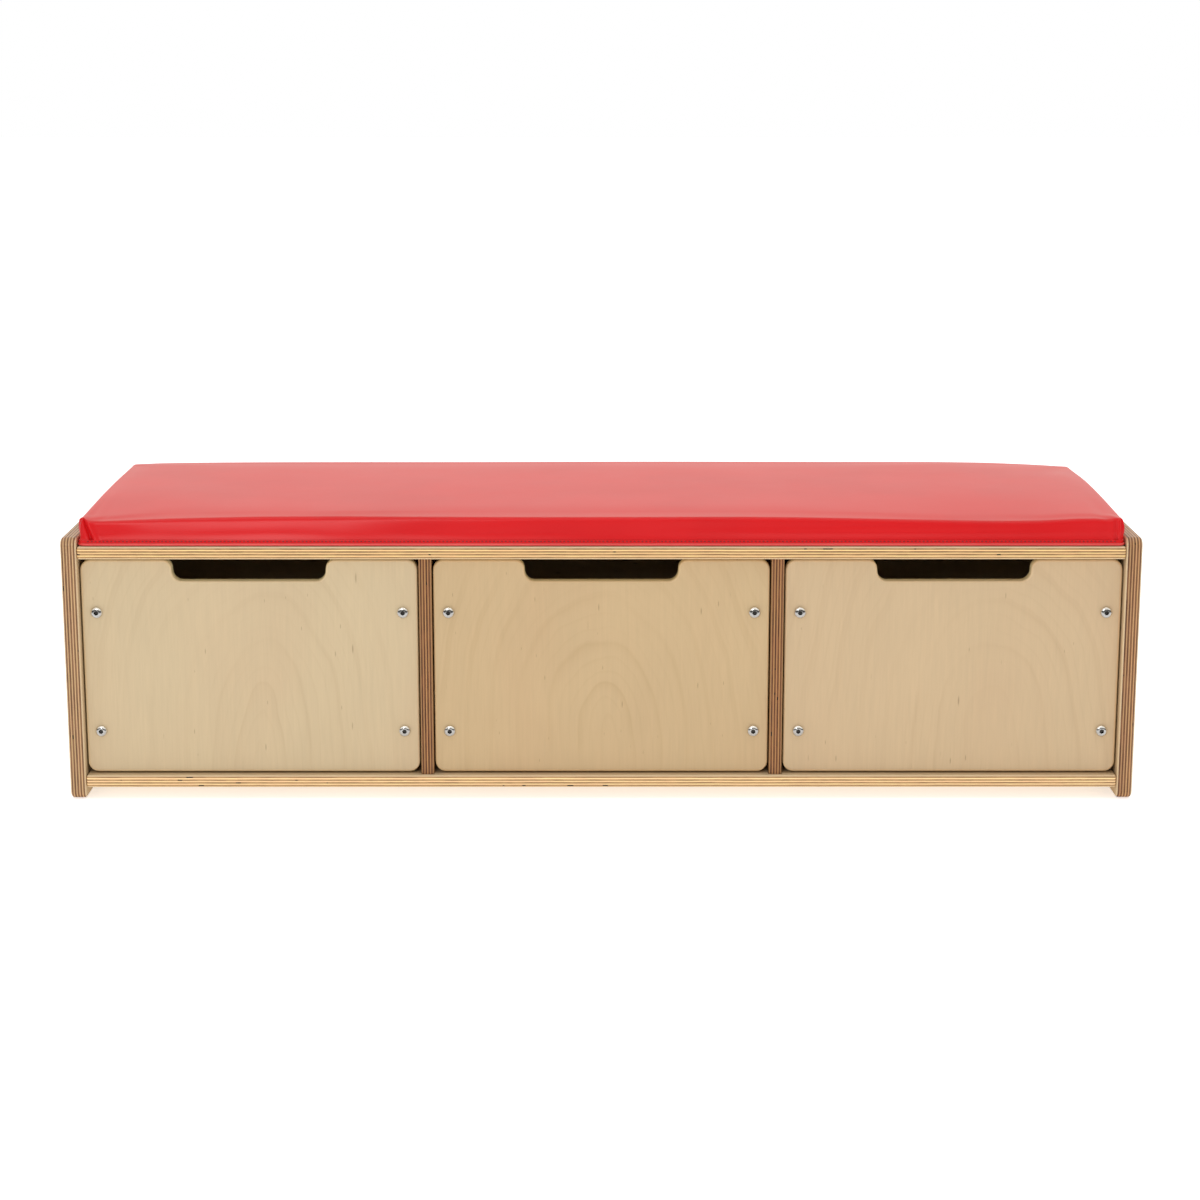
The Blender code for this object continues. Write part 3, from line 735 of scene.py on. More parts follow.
@dataclass
class Panel:
    """One sheet of plywood with rounded corners and eased edges."""

    node: str
    body: str
    facing: Axis
    grain: Axis
    finish: Plywood
    seed: float
    corner: float = 0.0
    ease: float = 0.0006
    slot: str = "birch_plywood"
    cuts: tuple = ()

    @property
    def box(self) -> Box:
        """The panel's box."""
        return Box.of(self.node)

    def outline(self) -> bmesh.types.BMesh:
        """Return the panel with its corners rounded, before its edges are eased."""
        shape = self.box.solid()
        if self.corner:
            round_edges(shape, edges_along(shape, self.facing), self.corner, 8)
        return shape

    def build(self) -> bpy.types.Object:
        """Build the panel and give it its finish.

        Returns:
            The piece.
        """
        shape = self.outline()
        segments = 4 if self.ease > MM else 2
        edges = rim_edges(shape, self.facing)
        if not self.corner:
            edges = list(shape.edges)
        round_edges(shape, edges, self.ease, segments)
        bmesh.ops.recalc_face_normals(shape, faces=shape.faces)
        mesh = to_mesh(shape, self.node)
        if self.cuts:
            mesh = carve(mesh, [cut() for cut in self.cuts])
        name = self.node + "_plywood"
        material = self.finish.material(name, self.box, self.facing, self.grain, self.seed)
        return Mount(self.body, self.slot, (self.node,)).fix(name, mesh, material)


@dataclass
class NotchedFront(Panel):
    """A drawer front: a panel with a hand notch in its top edge."""

    mouth: float = 0.144
    floor: float = 0.141
    depth: float = 0.020
    lip_radius: float = 0.008
    floor_radius: float = 0.0085

    def outline(self) -> bmesh.types.BMesh:
        """Return the front's plate, with all eight corners of its outline rounded."""
        box = self.box
        middle = box.centre.x
        corners = [(box.low.x, box.low.z), (box.high.x, box.low.z), (box.high.x, box.high.z),
                   (middle + self.mouth / 2, box.high.z),
                   (middle + self.floor / 2, box.high.z - self.depth),
                   (middle - self.floor / 2, box.high.z - self.depth),
                   (middle - self.mouth / 2, box.high.z), (box.low.x, box.high.z)]
        shape = bmesh.new()
        verts = [shape.verts.new((x, box.low.y, z)) for x, z in corners]
        face = shape.faces.new(verts)
        moved = bmesh.ops.extrude_face_region(shape, geom=[face])["geom"]
        far = [item for item in moved if isinstance(item, bmesh.types.BMVert)]
        bmesh.ops.translate(shape, vec=(0, box.size.y, 0), verts=far)
        bmesh.ops.recalc_face_normals(shape, faces=shape.faces)
        radii = {"floor": self.floor_radius, "lip": self.lip_radius, "corner": self.corner}
        for kind, radius in radii.items():
            edges = [edge for edge in edges_along(shape, Axis.Y) if self.kind_of(edge) == kind]
            round_edges(shape, edges, radius, 8)
        return shape

    def kind_of(self, edge: bmesh.types.BMEdge) -> str:
        """Return which corner an edge through the sheet belongs to.

        Args:
            edge: The edge.

        Returns:
            "floor", "lip", "corner", or "round" for an edge of a finished round.
        """
        box = self.box
        spot = edge.verts[0].co
        out = abs(spot.x - box.centre.x)
        if abs(out - self.floor / 2) < 0.1 * MM and spot.z < box.high.z - self.depth + 0.1 * MM:
            return "floor"
        if abs(out - self.mouth / 2) < 0.1 * MM and spot.z > box.high.z - 0.1 * MM:
            return "lip"
        at_side = abs(out - box.size.x / 2) < 0.1 * MM
        at_end = min(abs(spot.z - box.low.z), abs(spot.z - box.high.z)) < 0.1 * MM
        return "corner" if at_side and at_end else "round"


# ---------------------------------------------------------------- fasteners


@dataclass
class ButtonBolt:
    """A button-head bolt with a hexagon socket."""

    head_radius: float = 0.0055
    head_height: float = 0.0033
    rim: float = 0.0005
    crown_radius: float = 0.0024
    shank_radius: float = 0.0030
    across_flats: float = 0.0040
    socket_depth: float = 0.0021
    sides: int = 36

    def blank(self, length: float) -> bpy.types.Mesh:
        """Return a bolt along Z, the foot of its head at Z = 0 and its head above.

        Args:
            length: The length of its shank.

        Returns:
            The mesh.
        """
        rise = self.head_height - self.rim
        arc = []
        for step in range(9):
            turn = math.radians(90 * step / 8)
            out = self.crown_radius + (self.head_radius - self.crown_radius) * math.sin(turn)
            arc.append((out, self.rim + rise * math.cos(turn) ** 0.8))
        chamfer = 0.6 * MM
        profile = [(0.0, self.head_height)] + arc
        profile += [(self.head_radius, 0.15 * MM), (self.head_radius - 0.15 * MM, 0.0),
                    (self.shank_radius, 0.0), (self.shank_radius, chamfer - length),
                    (self.shank_radius - chamfer, -length), (0.0, -length)]
        shape = bmesh.new()
        verts = [shape.verts.new((x, 0, z)) for x, z in profile]
        lines = [shape.edges.new(pair) for pair in zip(verts, verts[1:])]
        bmesh.ops.spin(shape, geom=verts + lines, cent=(0, 0, 0), axis=(0, 0, 1),
                       angle=math.tau, steps=self.sides, use_merge=True)
        bmesh.ops.remove_doubles(shape, verts=shape.verts, dist=1e-6)
        bmesh.ops.recalc_face_normals(shape, faces=shape.faces)
        socket = bmesh.new()
        wide = self.across_flats / math.sqrt(3)
        between = Matrix.Rotation(math.pi / self.sides, 4, "Z")
        bmesh.ops.create_cone(socket, cap_ends=True, segments=6, radius1=wide * 0.97,
                              radius2=wide, depth=2 * self.socket_depth,
                              matrix=Matrix.Translation((0, 0, self.head_height)) @ between)
        mesh = carve(to_mesh(shape, "bolt"), [socket])
        self.mark_socket_shade(mesh, wide)
        return mesh

    def mark_socket_shade(self, mesh: bpy.types.Mesh, wide: float) -> None:
        """Mark the faces of the socket, whose colour is painted dark as the shade inside it.

        Args:
            mesh: The bolt, along Z.
            wide: The distance from the socket's middle to its corners.
        """
        marks = mesh.attributes.new("socket_shade", "FLOAT", "FACE")
        for face, mark in zip(mesh.polygons, marks.data):
            spot = face.center
            deep = self.head_height - self.socket_depth - 0.1 * MM < spot.z
            below = spot.z < self.head_height - 0.1 * MM
            mark.value = float(deep and below and math.hypot(spot.x, spot.y) < wide)

    def build(self, node: str, body: str, outward: Vector, steel: bpy.types.Material,
              turn: float) -> None:
        """Put a bolt where the frame has one.

        Args:
            node: The frame's bolt.
            body: The body it rides on.
            outward: The direction its head faces.
            steel: Its finish.
            turn: How far it is screwed round, in radians.
        """
        box = Box.of(node)
        run = max(box.size)
        mesh = self.blank(run - self.head_height)
        reach = abs(box.size.dot(outward)) / 2 - self.head_height
        foot = box.centre + outward * reach
        place = (Matrix.Translation(foot) @ outward.to_track_quat("Z", "Y").to_matrix().to_4x4()
                 @ Matrix.Rotation(turn, 4, "Z"))
        mesh.transform(place)
        Mount(body, "zinc_plated_steel", (node,)).fix(node + "_steel", mesh, steel)


@dataclass
class CrossNut:
    """A cross-dowel nut with a threaded cross hole and a screwdriver slot in its end."""

    hole_radius: float = 0.0034
    chamfer: float = 0.0005
    slot_width: float = 0.0014
    slot_depth: float = 0.0012

    def build(self, node: str, body: str, inward: float, steel: bpy.types.Material) -> None:
        """Put a nut where the frame has one.

        Args:
            node: The frame's nut.
            body: The body it rides on.
            inward: 1 or -1, the way along X that its slotted end faces.
            steel: Its finish.
        """
        box = Box.of(node)
        half = box.size / 2
        along = Vector((half.x, 0, 0))
        shape = rod(box.centre - along, box.centre + along, half.z)
        round_edges(shape, rim_edges(shape, Axis.X), self.chamfer, 2)
        across = Vector((0, half.z * 1.5, 0))
        end = box.centre + along * inward
        reach = Vector((self.slot_depth, 0, 0))
        high = Vector((0, self.slot_width / 2, half.z * 1.2))
        cutters = [rod(box.centre - across, box.centre + across, self.hole_radius, 20),
                   Box(end - reach - high, end + reach + high).solid()]
        mesh = carve(to_mesh(shape, node), cutters)
        Mount(body, "zinc_plated_steel", (node,)).fix(node + "_steel", mesh, steel)


# ---------------------------------------------------------------- cushion


def along_knots(knots: tuple, value: float) -> float:
    """Return the height of a broken line through knots, held level beyond its ends.

    Args:
        knots: Pairs of a position and a height, in order of position.
        value: The position.

    Returns:
        The height.
    """
    if value <= knots[0][0]:
        return knots[0][1]
    for (start, low), (end, high) in zip(knots, knots[1:]):
        if value <= end:
            return low + (high - low) * (value - start) / (end - start)
    return knots[-1][1]


def bell(distance: float, width: float) -> float:
    """Return 1 at no distance, falling smoothly to 0 over a few widths."""
    return math.exp(-(distance / width) ** 2)


def clamp(value: float) -> float:
    """Return a value held between 0 and 1."""
    return max(0.0, min(1.0, value))


@dataclass(frozen=True)
class CornerFold:
    """How the cover is folded at one corner, in metres from the corner."""

    crease_top: float
    crease_foot: float
    crease_depth: float
    ridge: float
    ridge_height: float
    flap: float

    def push(self, along: float, height: float) -> float:
        """Return how far the cover stands out beside the corner.

        Args:
            along: The distance along the side from the corner.
            height: The height up the side, from 0 to 1.

        Returns:
            The outward push, negative where the cover is tucked in.
        """
        run = self.crease_top + (self.crease_foot - self.crease_top) * (1 - height) ** 0.8
        gap = along - run
        width = 1.0 * MM if gap < 0 else 2.6 * MM
        crease = -self.crease_depth * bell(gap, width)
        shoulder = 0.45 * self.crease_depth * bell(gap - 4.2 * MM, 3.0 * MM)
        ridge = self.ridge_height * bell(along - self.ridge, 1.3 * MM) * clamp(1.5 * height)
        level = height / 0.42 + along / (0.9 * self.crease_foot)
        flap = self.flap * clamp(1 - level) * clamp(height / 0.05)
        return crease + shoulder + ridge + flap


@dataclass
class Cushion:
    """A loose foam seat in a sewn vinyl cover, with folded corners and a stitched hem."""

    vinyl: bpy.types.Material
    highlit_welt_vinyl: bpy.types.Material
    thread: bpy.types.Material
    swell: float = 0.0012
    side: float = 0.0264
    crown: float = 0.0060
    edge_round: float = 0.0031
    corner_round: float = 0.0052
    cell: float = 0.016
    corner_cell: float = 0.003
    corner_span: float = 0.024
    side_cell: float = 0.005
    cap: float = 0.0009
    side_bulge: float = 0.0030
    hem_height: float = 0.0052
    hem_thickness: float = 0.0011
    welt_radius: float = 0.0012
    stitch_pitch: float = 0.0036
    stitch_length: float = 0.0022
    stitch_radius: float = 0.00060

    NODES = ("cushion_cover", "cushion_underside", "cushion_foam")
    FRONT_SAG = ((-0.484, 1.5), (-0.480, 1.0), (-0.474, 3.4), (-0.462, 3.9), (-0.428, 2.8),
                 (-0.385, 1.5), (-0.317, 0.4), (-0.234, 0.0), (0.125, 0.0), (0.181, 0.4),
                 (0.236, 1.4), (0.291, 2.6), (0.347, 3.7), (0.384, 4.0), (0.411, 3.4),
                 (0.444, 1.4), (0.458, 1.6), (0.467, 2.4), (0.475, 1.4), (0.484, 1.8))
    FRONT_LEAN = ((-0.484, 0.0), (-0.462, 1.2), (-0.420, 3.8), (-0.330, 5.0), (-0.250, 4.6),
                  (-0.160, 2.0), (0.060, 0.0), (0.300, 1.3), (0.390, 1.6), (0.444, 0.4),
                  (0.484, 0.0))
    BACK_SAG = ((-0.484, 1.4), (-0.450, 0.2), (0.340, 0.0), (0.400, 0.8), (0.445, 2.2),
                (0.484, 4.4))
    FRONT_ROLL = ((0.02, 0.0), (0.14, 0.8), (0.24, 1.1), (0.38, 0.7), (0.46, 0.2))
    SAG_REACH = 0.075
    FOLDS = {"left": CornerFold(4.0 * MM, 13.5 * MM, 3.2 * MM, 0.0, 0.0, 3.6 * MM),
             "right": CornerFold(8.6 * MM, 7.4 * MM, 1.3 * MM, 5.2 * MM, 1.3 * MM, 0.9 * MM)}

    def __post_init__(self) -> None:
        """Read the cushion's room from the frame."""
        self.room = Box.of("cushion_cover")

    def block(self) -> bmesh.types.BMesh:
        """Return the skin before it swells, as a grid of quads, fine near its edges."""
        room = self.room
        low = room.low + Vector((self.swell, self.swell, 0))
        high = room.high - Vector((self.swell, self.swell, 0))
        high.z = room.low.z + self.side
        shape = Box(low, high).solid()
        round_edges(shape, edges_along(shape, Axis.Z), self.corner_round, 3)
        top = [edge for edge in rim_edges(shape, Axis.Z)
               if min(vert.co.z for vert in edge.verts) > room.low.z + MM]
        round_edges(shape, top, self.edge_round, 3)
        inset = Vector((self.edge_round, self.edge_round, 0))
        for axis in (Axis.X, Axis.Y):
            start, end = (low + inset)[axis.value], (high - inset)[axis.value]
            self.slice(shape, axis, start, start + self.corner_span, self.corner_cell)
            self.slice(shape, axis, start + self.corner_span, end - self.corner_span, self.cell)
            self.slice(shape, axis, end - self.corner_span, end, self.corner_cell)
        self.slice(shape, Axis.Z, low.z, high.z - self.edge_round, self.side_cell)
        for vert in shape.verts:
            self.shape_top(vert, high.z - room.low.z)
        return shape

    def slice(self, shape: bmesh.types.BMesh, axis: Axis, start: float, end: float,
              cell: float) -> None:
        """Cut a shape across an axis at even steps.

        Args:
            shape: The bmesh.
            axis: The axis the cuts are square to.
            start: Where the first cell starts.
            end: Where the last cell ends.
            cell: The size of a cell.
        """
        count = max(1, round((end - start) / cell))
        normal = Vector([float(axis.value == row) for row in range(3)])
        for step in range(count + 1):
            at = normal * (start + (end - start) * step / count)
            bmesh.ops.bisect_plane(shape, geom=list(shape.verts) + list(shape.edges)
                                   + list(shape.faces), plane_co=at, plane_no=normal, dist=1e-6)

    def shape_top(self, vert: bmesh.types.BMVert, tall: float) -> None:
        """Give one vertex its share of the crown and of the sagging, leaning front edge.

        Args:
            vert: The vertex, moved in place.
            tall: The height of the block.
        """
        spot = vert.co
        rise = (spot.z - self.room.low.z) / tall
        away = spot - self.room.centre
        front = away.y + self.room.size.y / 2
        back = self.room.size.y / 2 - away.y
        sag = along_knots(self.FRONT_SAG, away.x) * MM * bell(front, self.SAG_REACH)
        sag += along_knots(self.BACK_SAG, away.x) * MM * bell(back, self.SAG_REACH)
        lean = along_knots(self.FRONT_LEAN, away.x) * MM * bell(front, 0.02)
        spot.z += (self.crown * self.dome(away) - sag) * rise ** 2
        spot.y += lean * clamp(rise) ** 1.9

    def dome(self, away: Vector) -> float:
        """Return how far a spot shares in the crown, which is fuller towards the back.

        Args:
            away: The spot, from the cushion's middle.

        Returns:
            1 at the back edge, near 0 at the front edge.
        """
        along = min(1.0, abs(away.x) / (self.room.size.x / 2))
        across = clamp(0.5 - away.y / self.room.size.y)
        return (1 - 0.95 * across ** 1.6) * (1 - 0.25 * along ** 6)

    def inflate(self, piece: bpy.types.Object) -> bpy.types.Mesh:
        """Swell the skin as cloth under pressure, its underside and hem held still.

        Args:
            piece: The skin.

        Returns:
            The swollen mesh.
        """
        rest = [vert.co.copy() for vert in piece.data.vertices]
        held = [index for index, spot in enumerate(rest)
                if spot.z < self.room.low.z + self.hem_height]
        pins = piece.vertex_groups.new(name="held")
        pins.add(held, 1.0, "REPLACE")
        cloth = piece.modifiers.new("cover", "CLOTH")
        settings = cloth.settings
        settings.quality = 6
        settings.mass = 0.3
        settings.tension_stiffness = 22.0
        settings.compression_stiffness = 16.0
        settings.shear_stiffness = 8.0
        settings.bending_stiffness = 2.0
        settings.use_pressure = True
        settings.uniform_pressure_force = 2.0
        settings.vertex_group_mass = "held"
        settings.effector_weights.gravity = 0.0
        cloth.point_cache.frame_start = 1
        cloth.point_cache.frame_end = 20
        for number in range(1, 21):
            bpy.context.scene.frame_set(number)
        swollen = evaluated_mesh(piece)
        bpy.context.scene.frame_set(1)
        moved = 0.0
        for vert, start in zip(swollen.vertices, rest):
            move = vert.co - start
            moved = max(moved, move.length)
            if move.length > self.cap:
                vert.co = start + move * (self.cap / move.length)
        LOG.info("the cover swelled by up to %.2f mm", moved / MM)
        piece.modifiers.remove(cloth)
        return swollen

    def outward(self, away: Vector) -> tuple[float, Vector]:
        """Return how far a spot on the sides is from the nearest corner, and the way out.

        Args:
            away: The spot, from the cushion's middle.

        Returns:
            The distance along the side from the corner, and the outward direction.
        """
        gap_x = self.room.size.x / 2 - abs(away.x)
        gap_y = self.room.size.y / 2 - abs(away.y)
        blend = 0.5 + 0.5 * max(-1.0, min(1.0, (gap_y - gap_x) / self.corner_round))
        out = Vector((math.copysign(blend, away.x), math.copysign(1 - blend, away.y), 0))
        return max(gap_x, gap_y), out.normalized()

    def tailor(self, mesh: bpy.types.Mesh) -> None:
        """Work the slack, the pinched corner seams and their folds into the skin.

        Args:
            mesh: The skin, changed in place.
        """
        reach = self.room.size / 2
        top = self.side - self.edge_round * 0.4
        for vert in mesh.vertices:
            spot = vert.co
            away = spot - self.room.centre
            height = (spot.z - self.room.low.z) / top
            gap_x, gap_y = reach.x - abs(away.x), reach.y - abs(away.y)
            along, out = self.outward(away)
            rim = bell(min(gap_x, gap_y), 0.009)
            free = clamp((height - 0.2) / 0.25)
            slack = noise.noise(Vector((spot.x * 4.0, spot.y * 4.0, 3.1)))
            crimp = noise.noise(Vector((spot.x * 13.0, spot.y * 13.0, spot.z * 55.0 + 7.7)))
            push = (0.5 * slack + 0.40 * crimp) * MM * rim * free * clamp((1.1 - height) / 0.2)
            lift = 0.45 * slack * MM * free
            fold = self.FOLDS["left" if away.x < 0 else "right"]
            sides = clamp((1.08 - height) / 0.16) * rim
            if along < 0.04:
                push += fold.push(along, clamp(height)) * sides
            corner = math.hypot(gap_x, gap_y)
            pinch = bell(corner - 4.5 * MM, 2.4 * MM) * clamp((height - 0.45) / 0.5)
            push -= 1.3 * MM * pinch
            if away.y < 0:
                lift += 1.0 * MM * bell(corner, 0.008) * free
            if gap_x < gap_y:
                share = 1 - 0.65 * bell(gap_y, 0.016)
                push += self.side_bulge * share * bell(height - 0.58, 0.26) * rim
            elif away.y < 0:
                roll = along_knots(self.FRONT_ROLL, away.x) * MM
                push += roll * bell(height - 0.47, 0.15) * rim
            vert.co = spot + out * push + Vector((0, 0, lift))

    def build_skin(self) -> None:
        """Build the cover."""
        mesh = to_mesh(self.block(), "cushion_skin")
        piece = bpy.data.objects.new("cushion_skin", mesh)
        bpy.context.scene.collection.objects.link(piece)
        piece.data = self.inflate(piece)
        refine = piece.modifiers.new("refine", "SUBSURF")
        refine.levels = 2
        refine.render_levels = 2
        fine = evaluated_mesh(piece)
        bpy.data.objects.remove(piece, do_unlink=True)
        self.tailor(fine)
        mount = Mount("cushion", "red_vinyl", self.NODES)
        cover = mount.fix("cushion_skin_vinyl", fine, self.vinyl, crisp=False)

    def build_hem(self) -> None:
        """Build the turned hem that runs round the foot of the cover."""
        low = self.room.low.z + 0.1 * MM
        out = self.hem_thickness * 0.75
        inset = Vector((self.swell - out, self.swell - out, 0))
        shape = Box(Vector((*(self.room.low + inset).xy, low)),
                    Vector((*(self.room.high - inset).xy, low + self.hem_height))).solid()
        round_edges(shape, edges_along(shape, Axis.Z), self.corner_round + out, 6)
        shape.normal_update()
        caps = [face for face in shape.faces if abs(face.normal.z) > 0.9]
        bmesh.ops.delete(shape, geom=caps, context="FACES")
        piece = bpy.data.objects.new("cushion_hem", to_mesh(shape, "cushion_hem"))
        bpy.context.scene.collection.objects.link(piece)
        wall = piece.modifiers.new("wall", "SOLIDIFY")
        wall.thickness = self.hem_thickness
        wall.offset = -1.0
        soften = piece.modifiers.new("soften", "BEVEL")
        soften.width = 0.45 * MM
        soften.segments = 3
        soften.limit_method = "ANGLE"
        soften.angle_limit = math.radians(50)
        fine = evaluated_mesh(piece)
        bpy.data.objects.remove(piece, do_unlink=True)
        Mount("cushion", "red_vinyl").fix("cushion_hem_vinyl", fine, self.vinyl, crisp=False)

    def build_welt(self) -> None:
        """Build the rolled edge that runs round the foot of the hem."""
        out = self.hem_thickness * 0.75 - self.swell
        radius = self.corner_round + self.hem_thickness
        core = self.room.size / 2 + Vector((out - radius, out - radius, 0))
        run = bpy.data.curves.new("welt", "CURVE")
        run.dimensions = "3D"
        run.bevel_depth = self.welt_radius
        run.bevel_resolution = 3
        line = run.splines.new("POLY")
        steps = 6
        line.points.add(4 * (steps + 1) - 1)
        line.use_cyclic_u = True
        for number, point in enumerate(line.points):
            quarter, step = divmod(number, steps + 1)
            turn = math.radians(90 * (quarter + step / steps))
            side_x = 1 if quarter in (0, 3) else -1
            side_y = 1 if quarter in (0, 1) else -1
            point.co = (self.room.centre.x + side_x * core.x + radius * math.cos(turn),
                        self.room.centre.y + side_y * core.y + radius * math.sin(turn),
                        self.room.low.z + self.welt_radius + 0.1 * MM, 1.0)
        item = bpy.data.objects.new("welt", run)
        bpy.context.scene.collection.objects.link(item)
        mesh = evaluated_mesh(item)
        bpy.data.objects.remove(item, do_unlink=True)
        # painted highlight: the welt takes the lighter vinyl
        Mount("cushion", "red_vinyl").fix("cushion_welt_vinyl", mesh, self.highlit_welt_vinyl,
                                          crisp=False)

    def build_stitches(self) -> None:
        """Build the row of stitches near the top of the hem."""
        room = self.room
        out = self.hem_thickness * 0.75 - self.swell - 0.05 * MM
        clear = self.corner_round + 2 * self.stitch_length
        shape = bmesh.new()
        for along, across in ((Axis.X, Axis.Y), (Axis.Y, Axis.X)):
            span = room.size[along.value] - 2 * clear
            count = int(span / self.stitch_pitch)
            for side in (-1, 1):
                for step in range(count + 1):
                    spot = room.centre.copy()
                    spot[along.value] += (step / count - 0.5) * span
                    spot[across.value] += side * (room.size[across.value] / 2 + out)
                    spot.z = room.low.z + self.hem_height - 1.0 * MM
                    self.stitch(shape, spot, along)
        mesh = to_mesh(shape, "cushion_stitches")
        Mount("cushion", "red_vinyl").fix("cushion_stitches_thread", mesh, self.thread, crisp=False)

    def stitch(self, shape: bmesh.types.BMesh, spot: Vector, along: Axis) -> None:
        """Add one stitch.

        Args:
            shape: The bmesh that takes it.
            spot: Its middle.
            along: The way it runs.
        """
        size = Vector((self.stitch_radius,) * 3)
        size[along.value] = self.stitch_length / 2
        place = Matrix.Translation(spot) @ Matrix.Diagonal((*size, 1.0))
        bmesh.ops.create_icosphere(shape, subdivisions=1, radius=1.0, matrix=place)

    def build(self) -> None:
        """Build every piece of the cushion."""
        self.build_skin()
        self.build_hem()
        self.build_welt()
        self.build_stitches()


# ---------------------------------------------------------------- bench


@dataclass
class Carcass:
    """The fixed plywood of the bench and the bolts that hold it."""

    steel: bpy.types.Material
    body: str = "carcass"
    end_round: float = 0.003
    end_corner: float = 0.008
    board_round: float = 0.0022

    def panels(self) -> list[Panel]:
        """Return the carcass's panels."""
        # painted light and shade in these tones: the right end panel's edges are darker than the
        # left's, as shade from light falling from the left; the base board's edges are lighter, as
        # light from the floor below; the dividers are darkened all over, as painted shade where they
        # stand set back between the drawers
        left = Plywood(11, contrast=1.2, edge_tone=(0.72, 0.65, 0.69))
        right = Plywood(11, contrast=1.2, edge_tone=(0.66, 0.52, 0.49))
        seat = Plywood(9, depth=0.7, contrast=1.3, edge_tone=(1.25, 1.29, 1.35))
        base = Plywood(9, depth=0.6, contrast=1.3, edge_tone=(1.32, 1.41, 1.68))
        inner = Plywood(9, contrast=1.4, face_tone=(0.56, 0.39, 0.26), edge_tone=(0.58, 0.43, 0.37))
        sheet = Plywood(5, roughness=0.5)
        common = {"body": self.body}
        ends = [Panel(f"end_panel_{side}", facing=Axis.X, grain=Axis.Z, finish=finish, seed=seed,
                      corner=self.end_corner, ease=self.end_round, **common)
                for side, finish, seed in (("left", left, 3.1), ("right", right, 8.7))]
        boards = [Panel(f"{name}_board", facing=Axis.Z, grain=Axis.X, finish=finish, seed=seed,
                        ease=self.board_round, cuts=self.dados(name), **common)
                  for name, finish, seed in (("seat", seat, 12.3), ("base", base, 17.9))]
        dividers = [Panel(f"divider_{side}", facing=Axis.X, grain=Axis.Z, finish=inner, seed=seed,
                          ease=self.board_round, **common)
                    for side, seed in (("left", 21.4), ("right", 26.6))]
        back = Panel("back_panel", facing=Axis.Y, grain=Axis.X, finish=sheet, seed=31.2,
                     slot="birch_plywood_inside", **common)
        return ends + boards + dividers + [back]

    def dados(self, board: str) -> tuple:
        """Return the cutters for the dividers' dados in a board.

        Args:
            board: "seat" or "base"; not used.

        Returns:
            A tuple of functions that each return a cutter.
        """
        gap = Vector((0.3, 0.3, 0.3)) * MM
        dividers = [Box.of("divider_left"), Box.of("divider_right")]
        return tuple(lambda box=box: Box(box.low - gap, box.high + gap).solid()
                     for box in dividers)

    def build(self) -> None:
        """Build every piece of the carcass."""
        for panel in self.panels():
            panel.build()
        bolt = ButtonBolt()
        for side, sign in (("left", -1), ("right", 1)):
            for number, (board, edge) in enumerate((b, e) for b in ("base", "seat")
                                                   for e in ("front", "back")):
                node = f"{side}_end_bolt_{board}_{edge}"
                bolt.build(node, self.body, Vector((sign, 0, 0)), self.steel, 0.4 * number)


@dataclass
class Drawer:
    """One pull-out box with its notched front, bolts and nuts."""

    bay: str
    steel: bpy.types.Material
    seed: float
    tone: tuple

    # painted highlight: the fronts' cut edges are lifted paler than the face, partly the lighter
    # inner ply, partly the highlight along their rounded edges
    EDGE_LIFT = (1.08, 1.28, 1.50)

    def panels(self) -> list[Panel]:
        """Return the drawer's panels."""
        body, inside = f"{self.bay}_drawer", "birch_plywood_inside"
        plain, thin = Plywood(9, roughness=0.5, coat=0.0), Plywood(5, roughness=0.5, coat=0.0)
        name = f"{self.bay}_drawer_"
        pale = tuple(tone * lift for tone, lift in zip(self.tone, self.EDGE_LIFT))
        face = Plywood(9, depth=0.0, sanded_highlight=0.18, face_tone=self.tone, edge_tone=pale)
        front = NotchedFront(name + "front", body, Axis.Y, Axis.Z, face, self.seed,
                             corner=0.010, ease=0.0028)
        sides = [Panel(f"{name}{side}_side", body, Axis.X, Axis.Y, plain, self.seed + shift,
                       ease=0.0009, slot=inside, cuts=self.side_cuts(side))
                 for side, shift in (("left", 1.3), ("right", 2.9))]
        back = Panel(name + "back", body, Axis.Y, Axis.X, plain, self.seed + 4.1, ease=0.0009,
                     slot=inside, cuts=(self.groove,))
        bottom = Panel(name + "bottom", body, Axis.Z, Axis.X, thin, self.seed + 5.7, ease=0.0004,
                       slot=inside)
        return [front, *sides, back, bottom]

    def groove(self) -> bmesh.types.BMesh:
        """Return the cutter for the grooves that hold the bottom."""
        box = Box.of(f"{self.bay}_drawer_bottom")
        gap = Vector((0.3, 0.3, 0.3)) * MM
        return Box(box.low - gap, box.high + gap).solid()

    def side_cuts(self, side: str) -> tuple:
        """Return the cutters for a side: the bottom's groove and the nuts' holes.

        Args:
            side: "left" or "right".

        Returns:
            A tuple of functions that each return a cutter.
        """
        inward = 1 if side == "left" else -1

        def nut_hole(level: str) -> bmesh.types.BMesh:
            box = Box.of(f"{self.bay}_drawer_nut_{side}_{level}")
            along = Vector((box.size.x / 2 + 0.4 * MM, 0, 0))
            mouth = box.centre + inward * along * 2
            return rod(box.centre - inward * along, mouth, box.size.z / 2 + 0.4 * MM, 28)

        return (self.groove, lambda: nut_hole("lower"), lambda: nut_hole("upper"))

    def build(self) -> None:
        """Build every piece of the drawer."""
        for panel in self.panels():
            panel.build()
        bolt, nut = ButtonBolt(), CrossNut()
        body = f"{self.bay}_drawer"
        for number, (side, level) in enumerate((s, v) for s in ("left", "right")
                                               for v in ("lower", "upper")):
            turn = self.seed + 0.55 * number
            bolt.build(f"{body}_bolt_{side}_{level}", body, Vector((0, -1, 0)), self.steel, turn)
            nut.build(f"{body}_nut_{side}_{level}", body, 1 if side == "left" else -1, self.steel)


# ---------------------------------------------------------------- studio


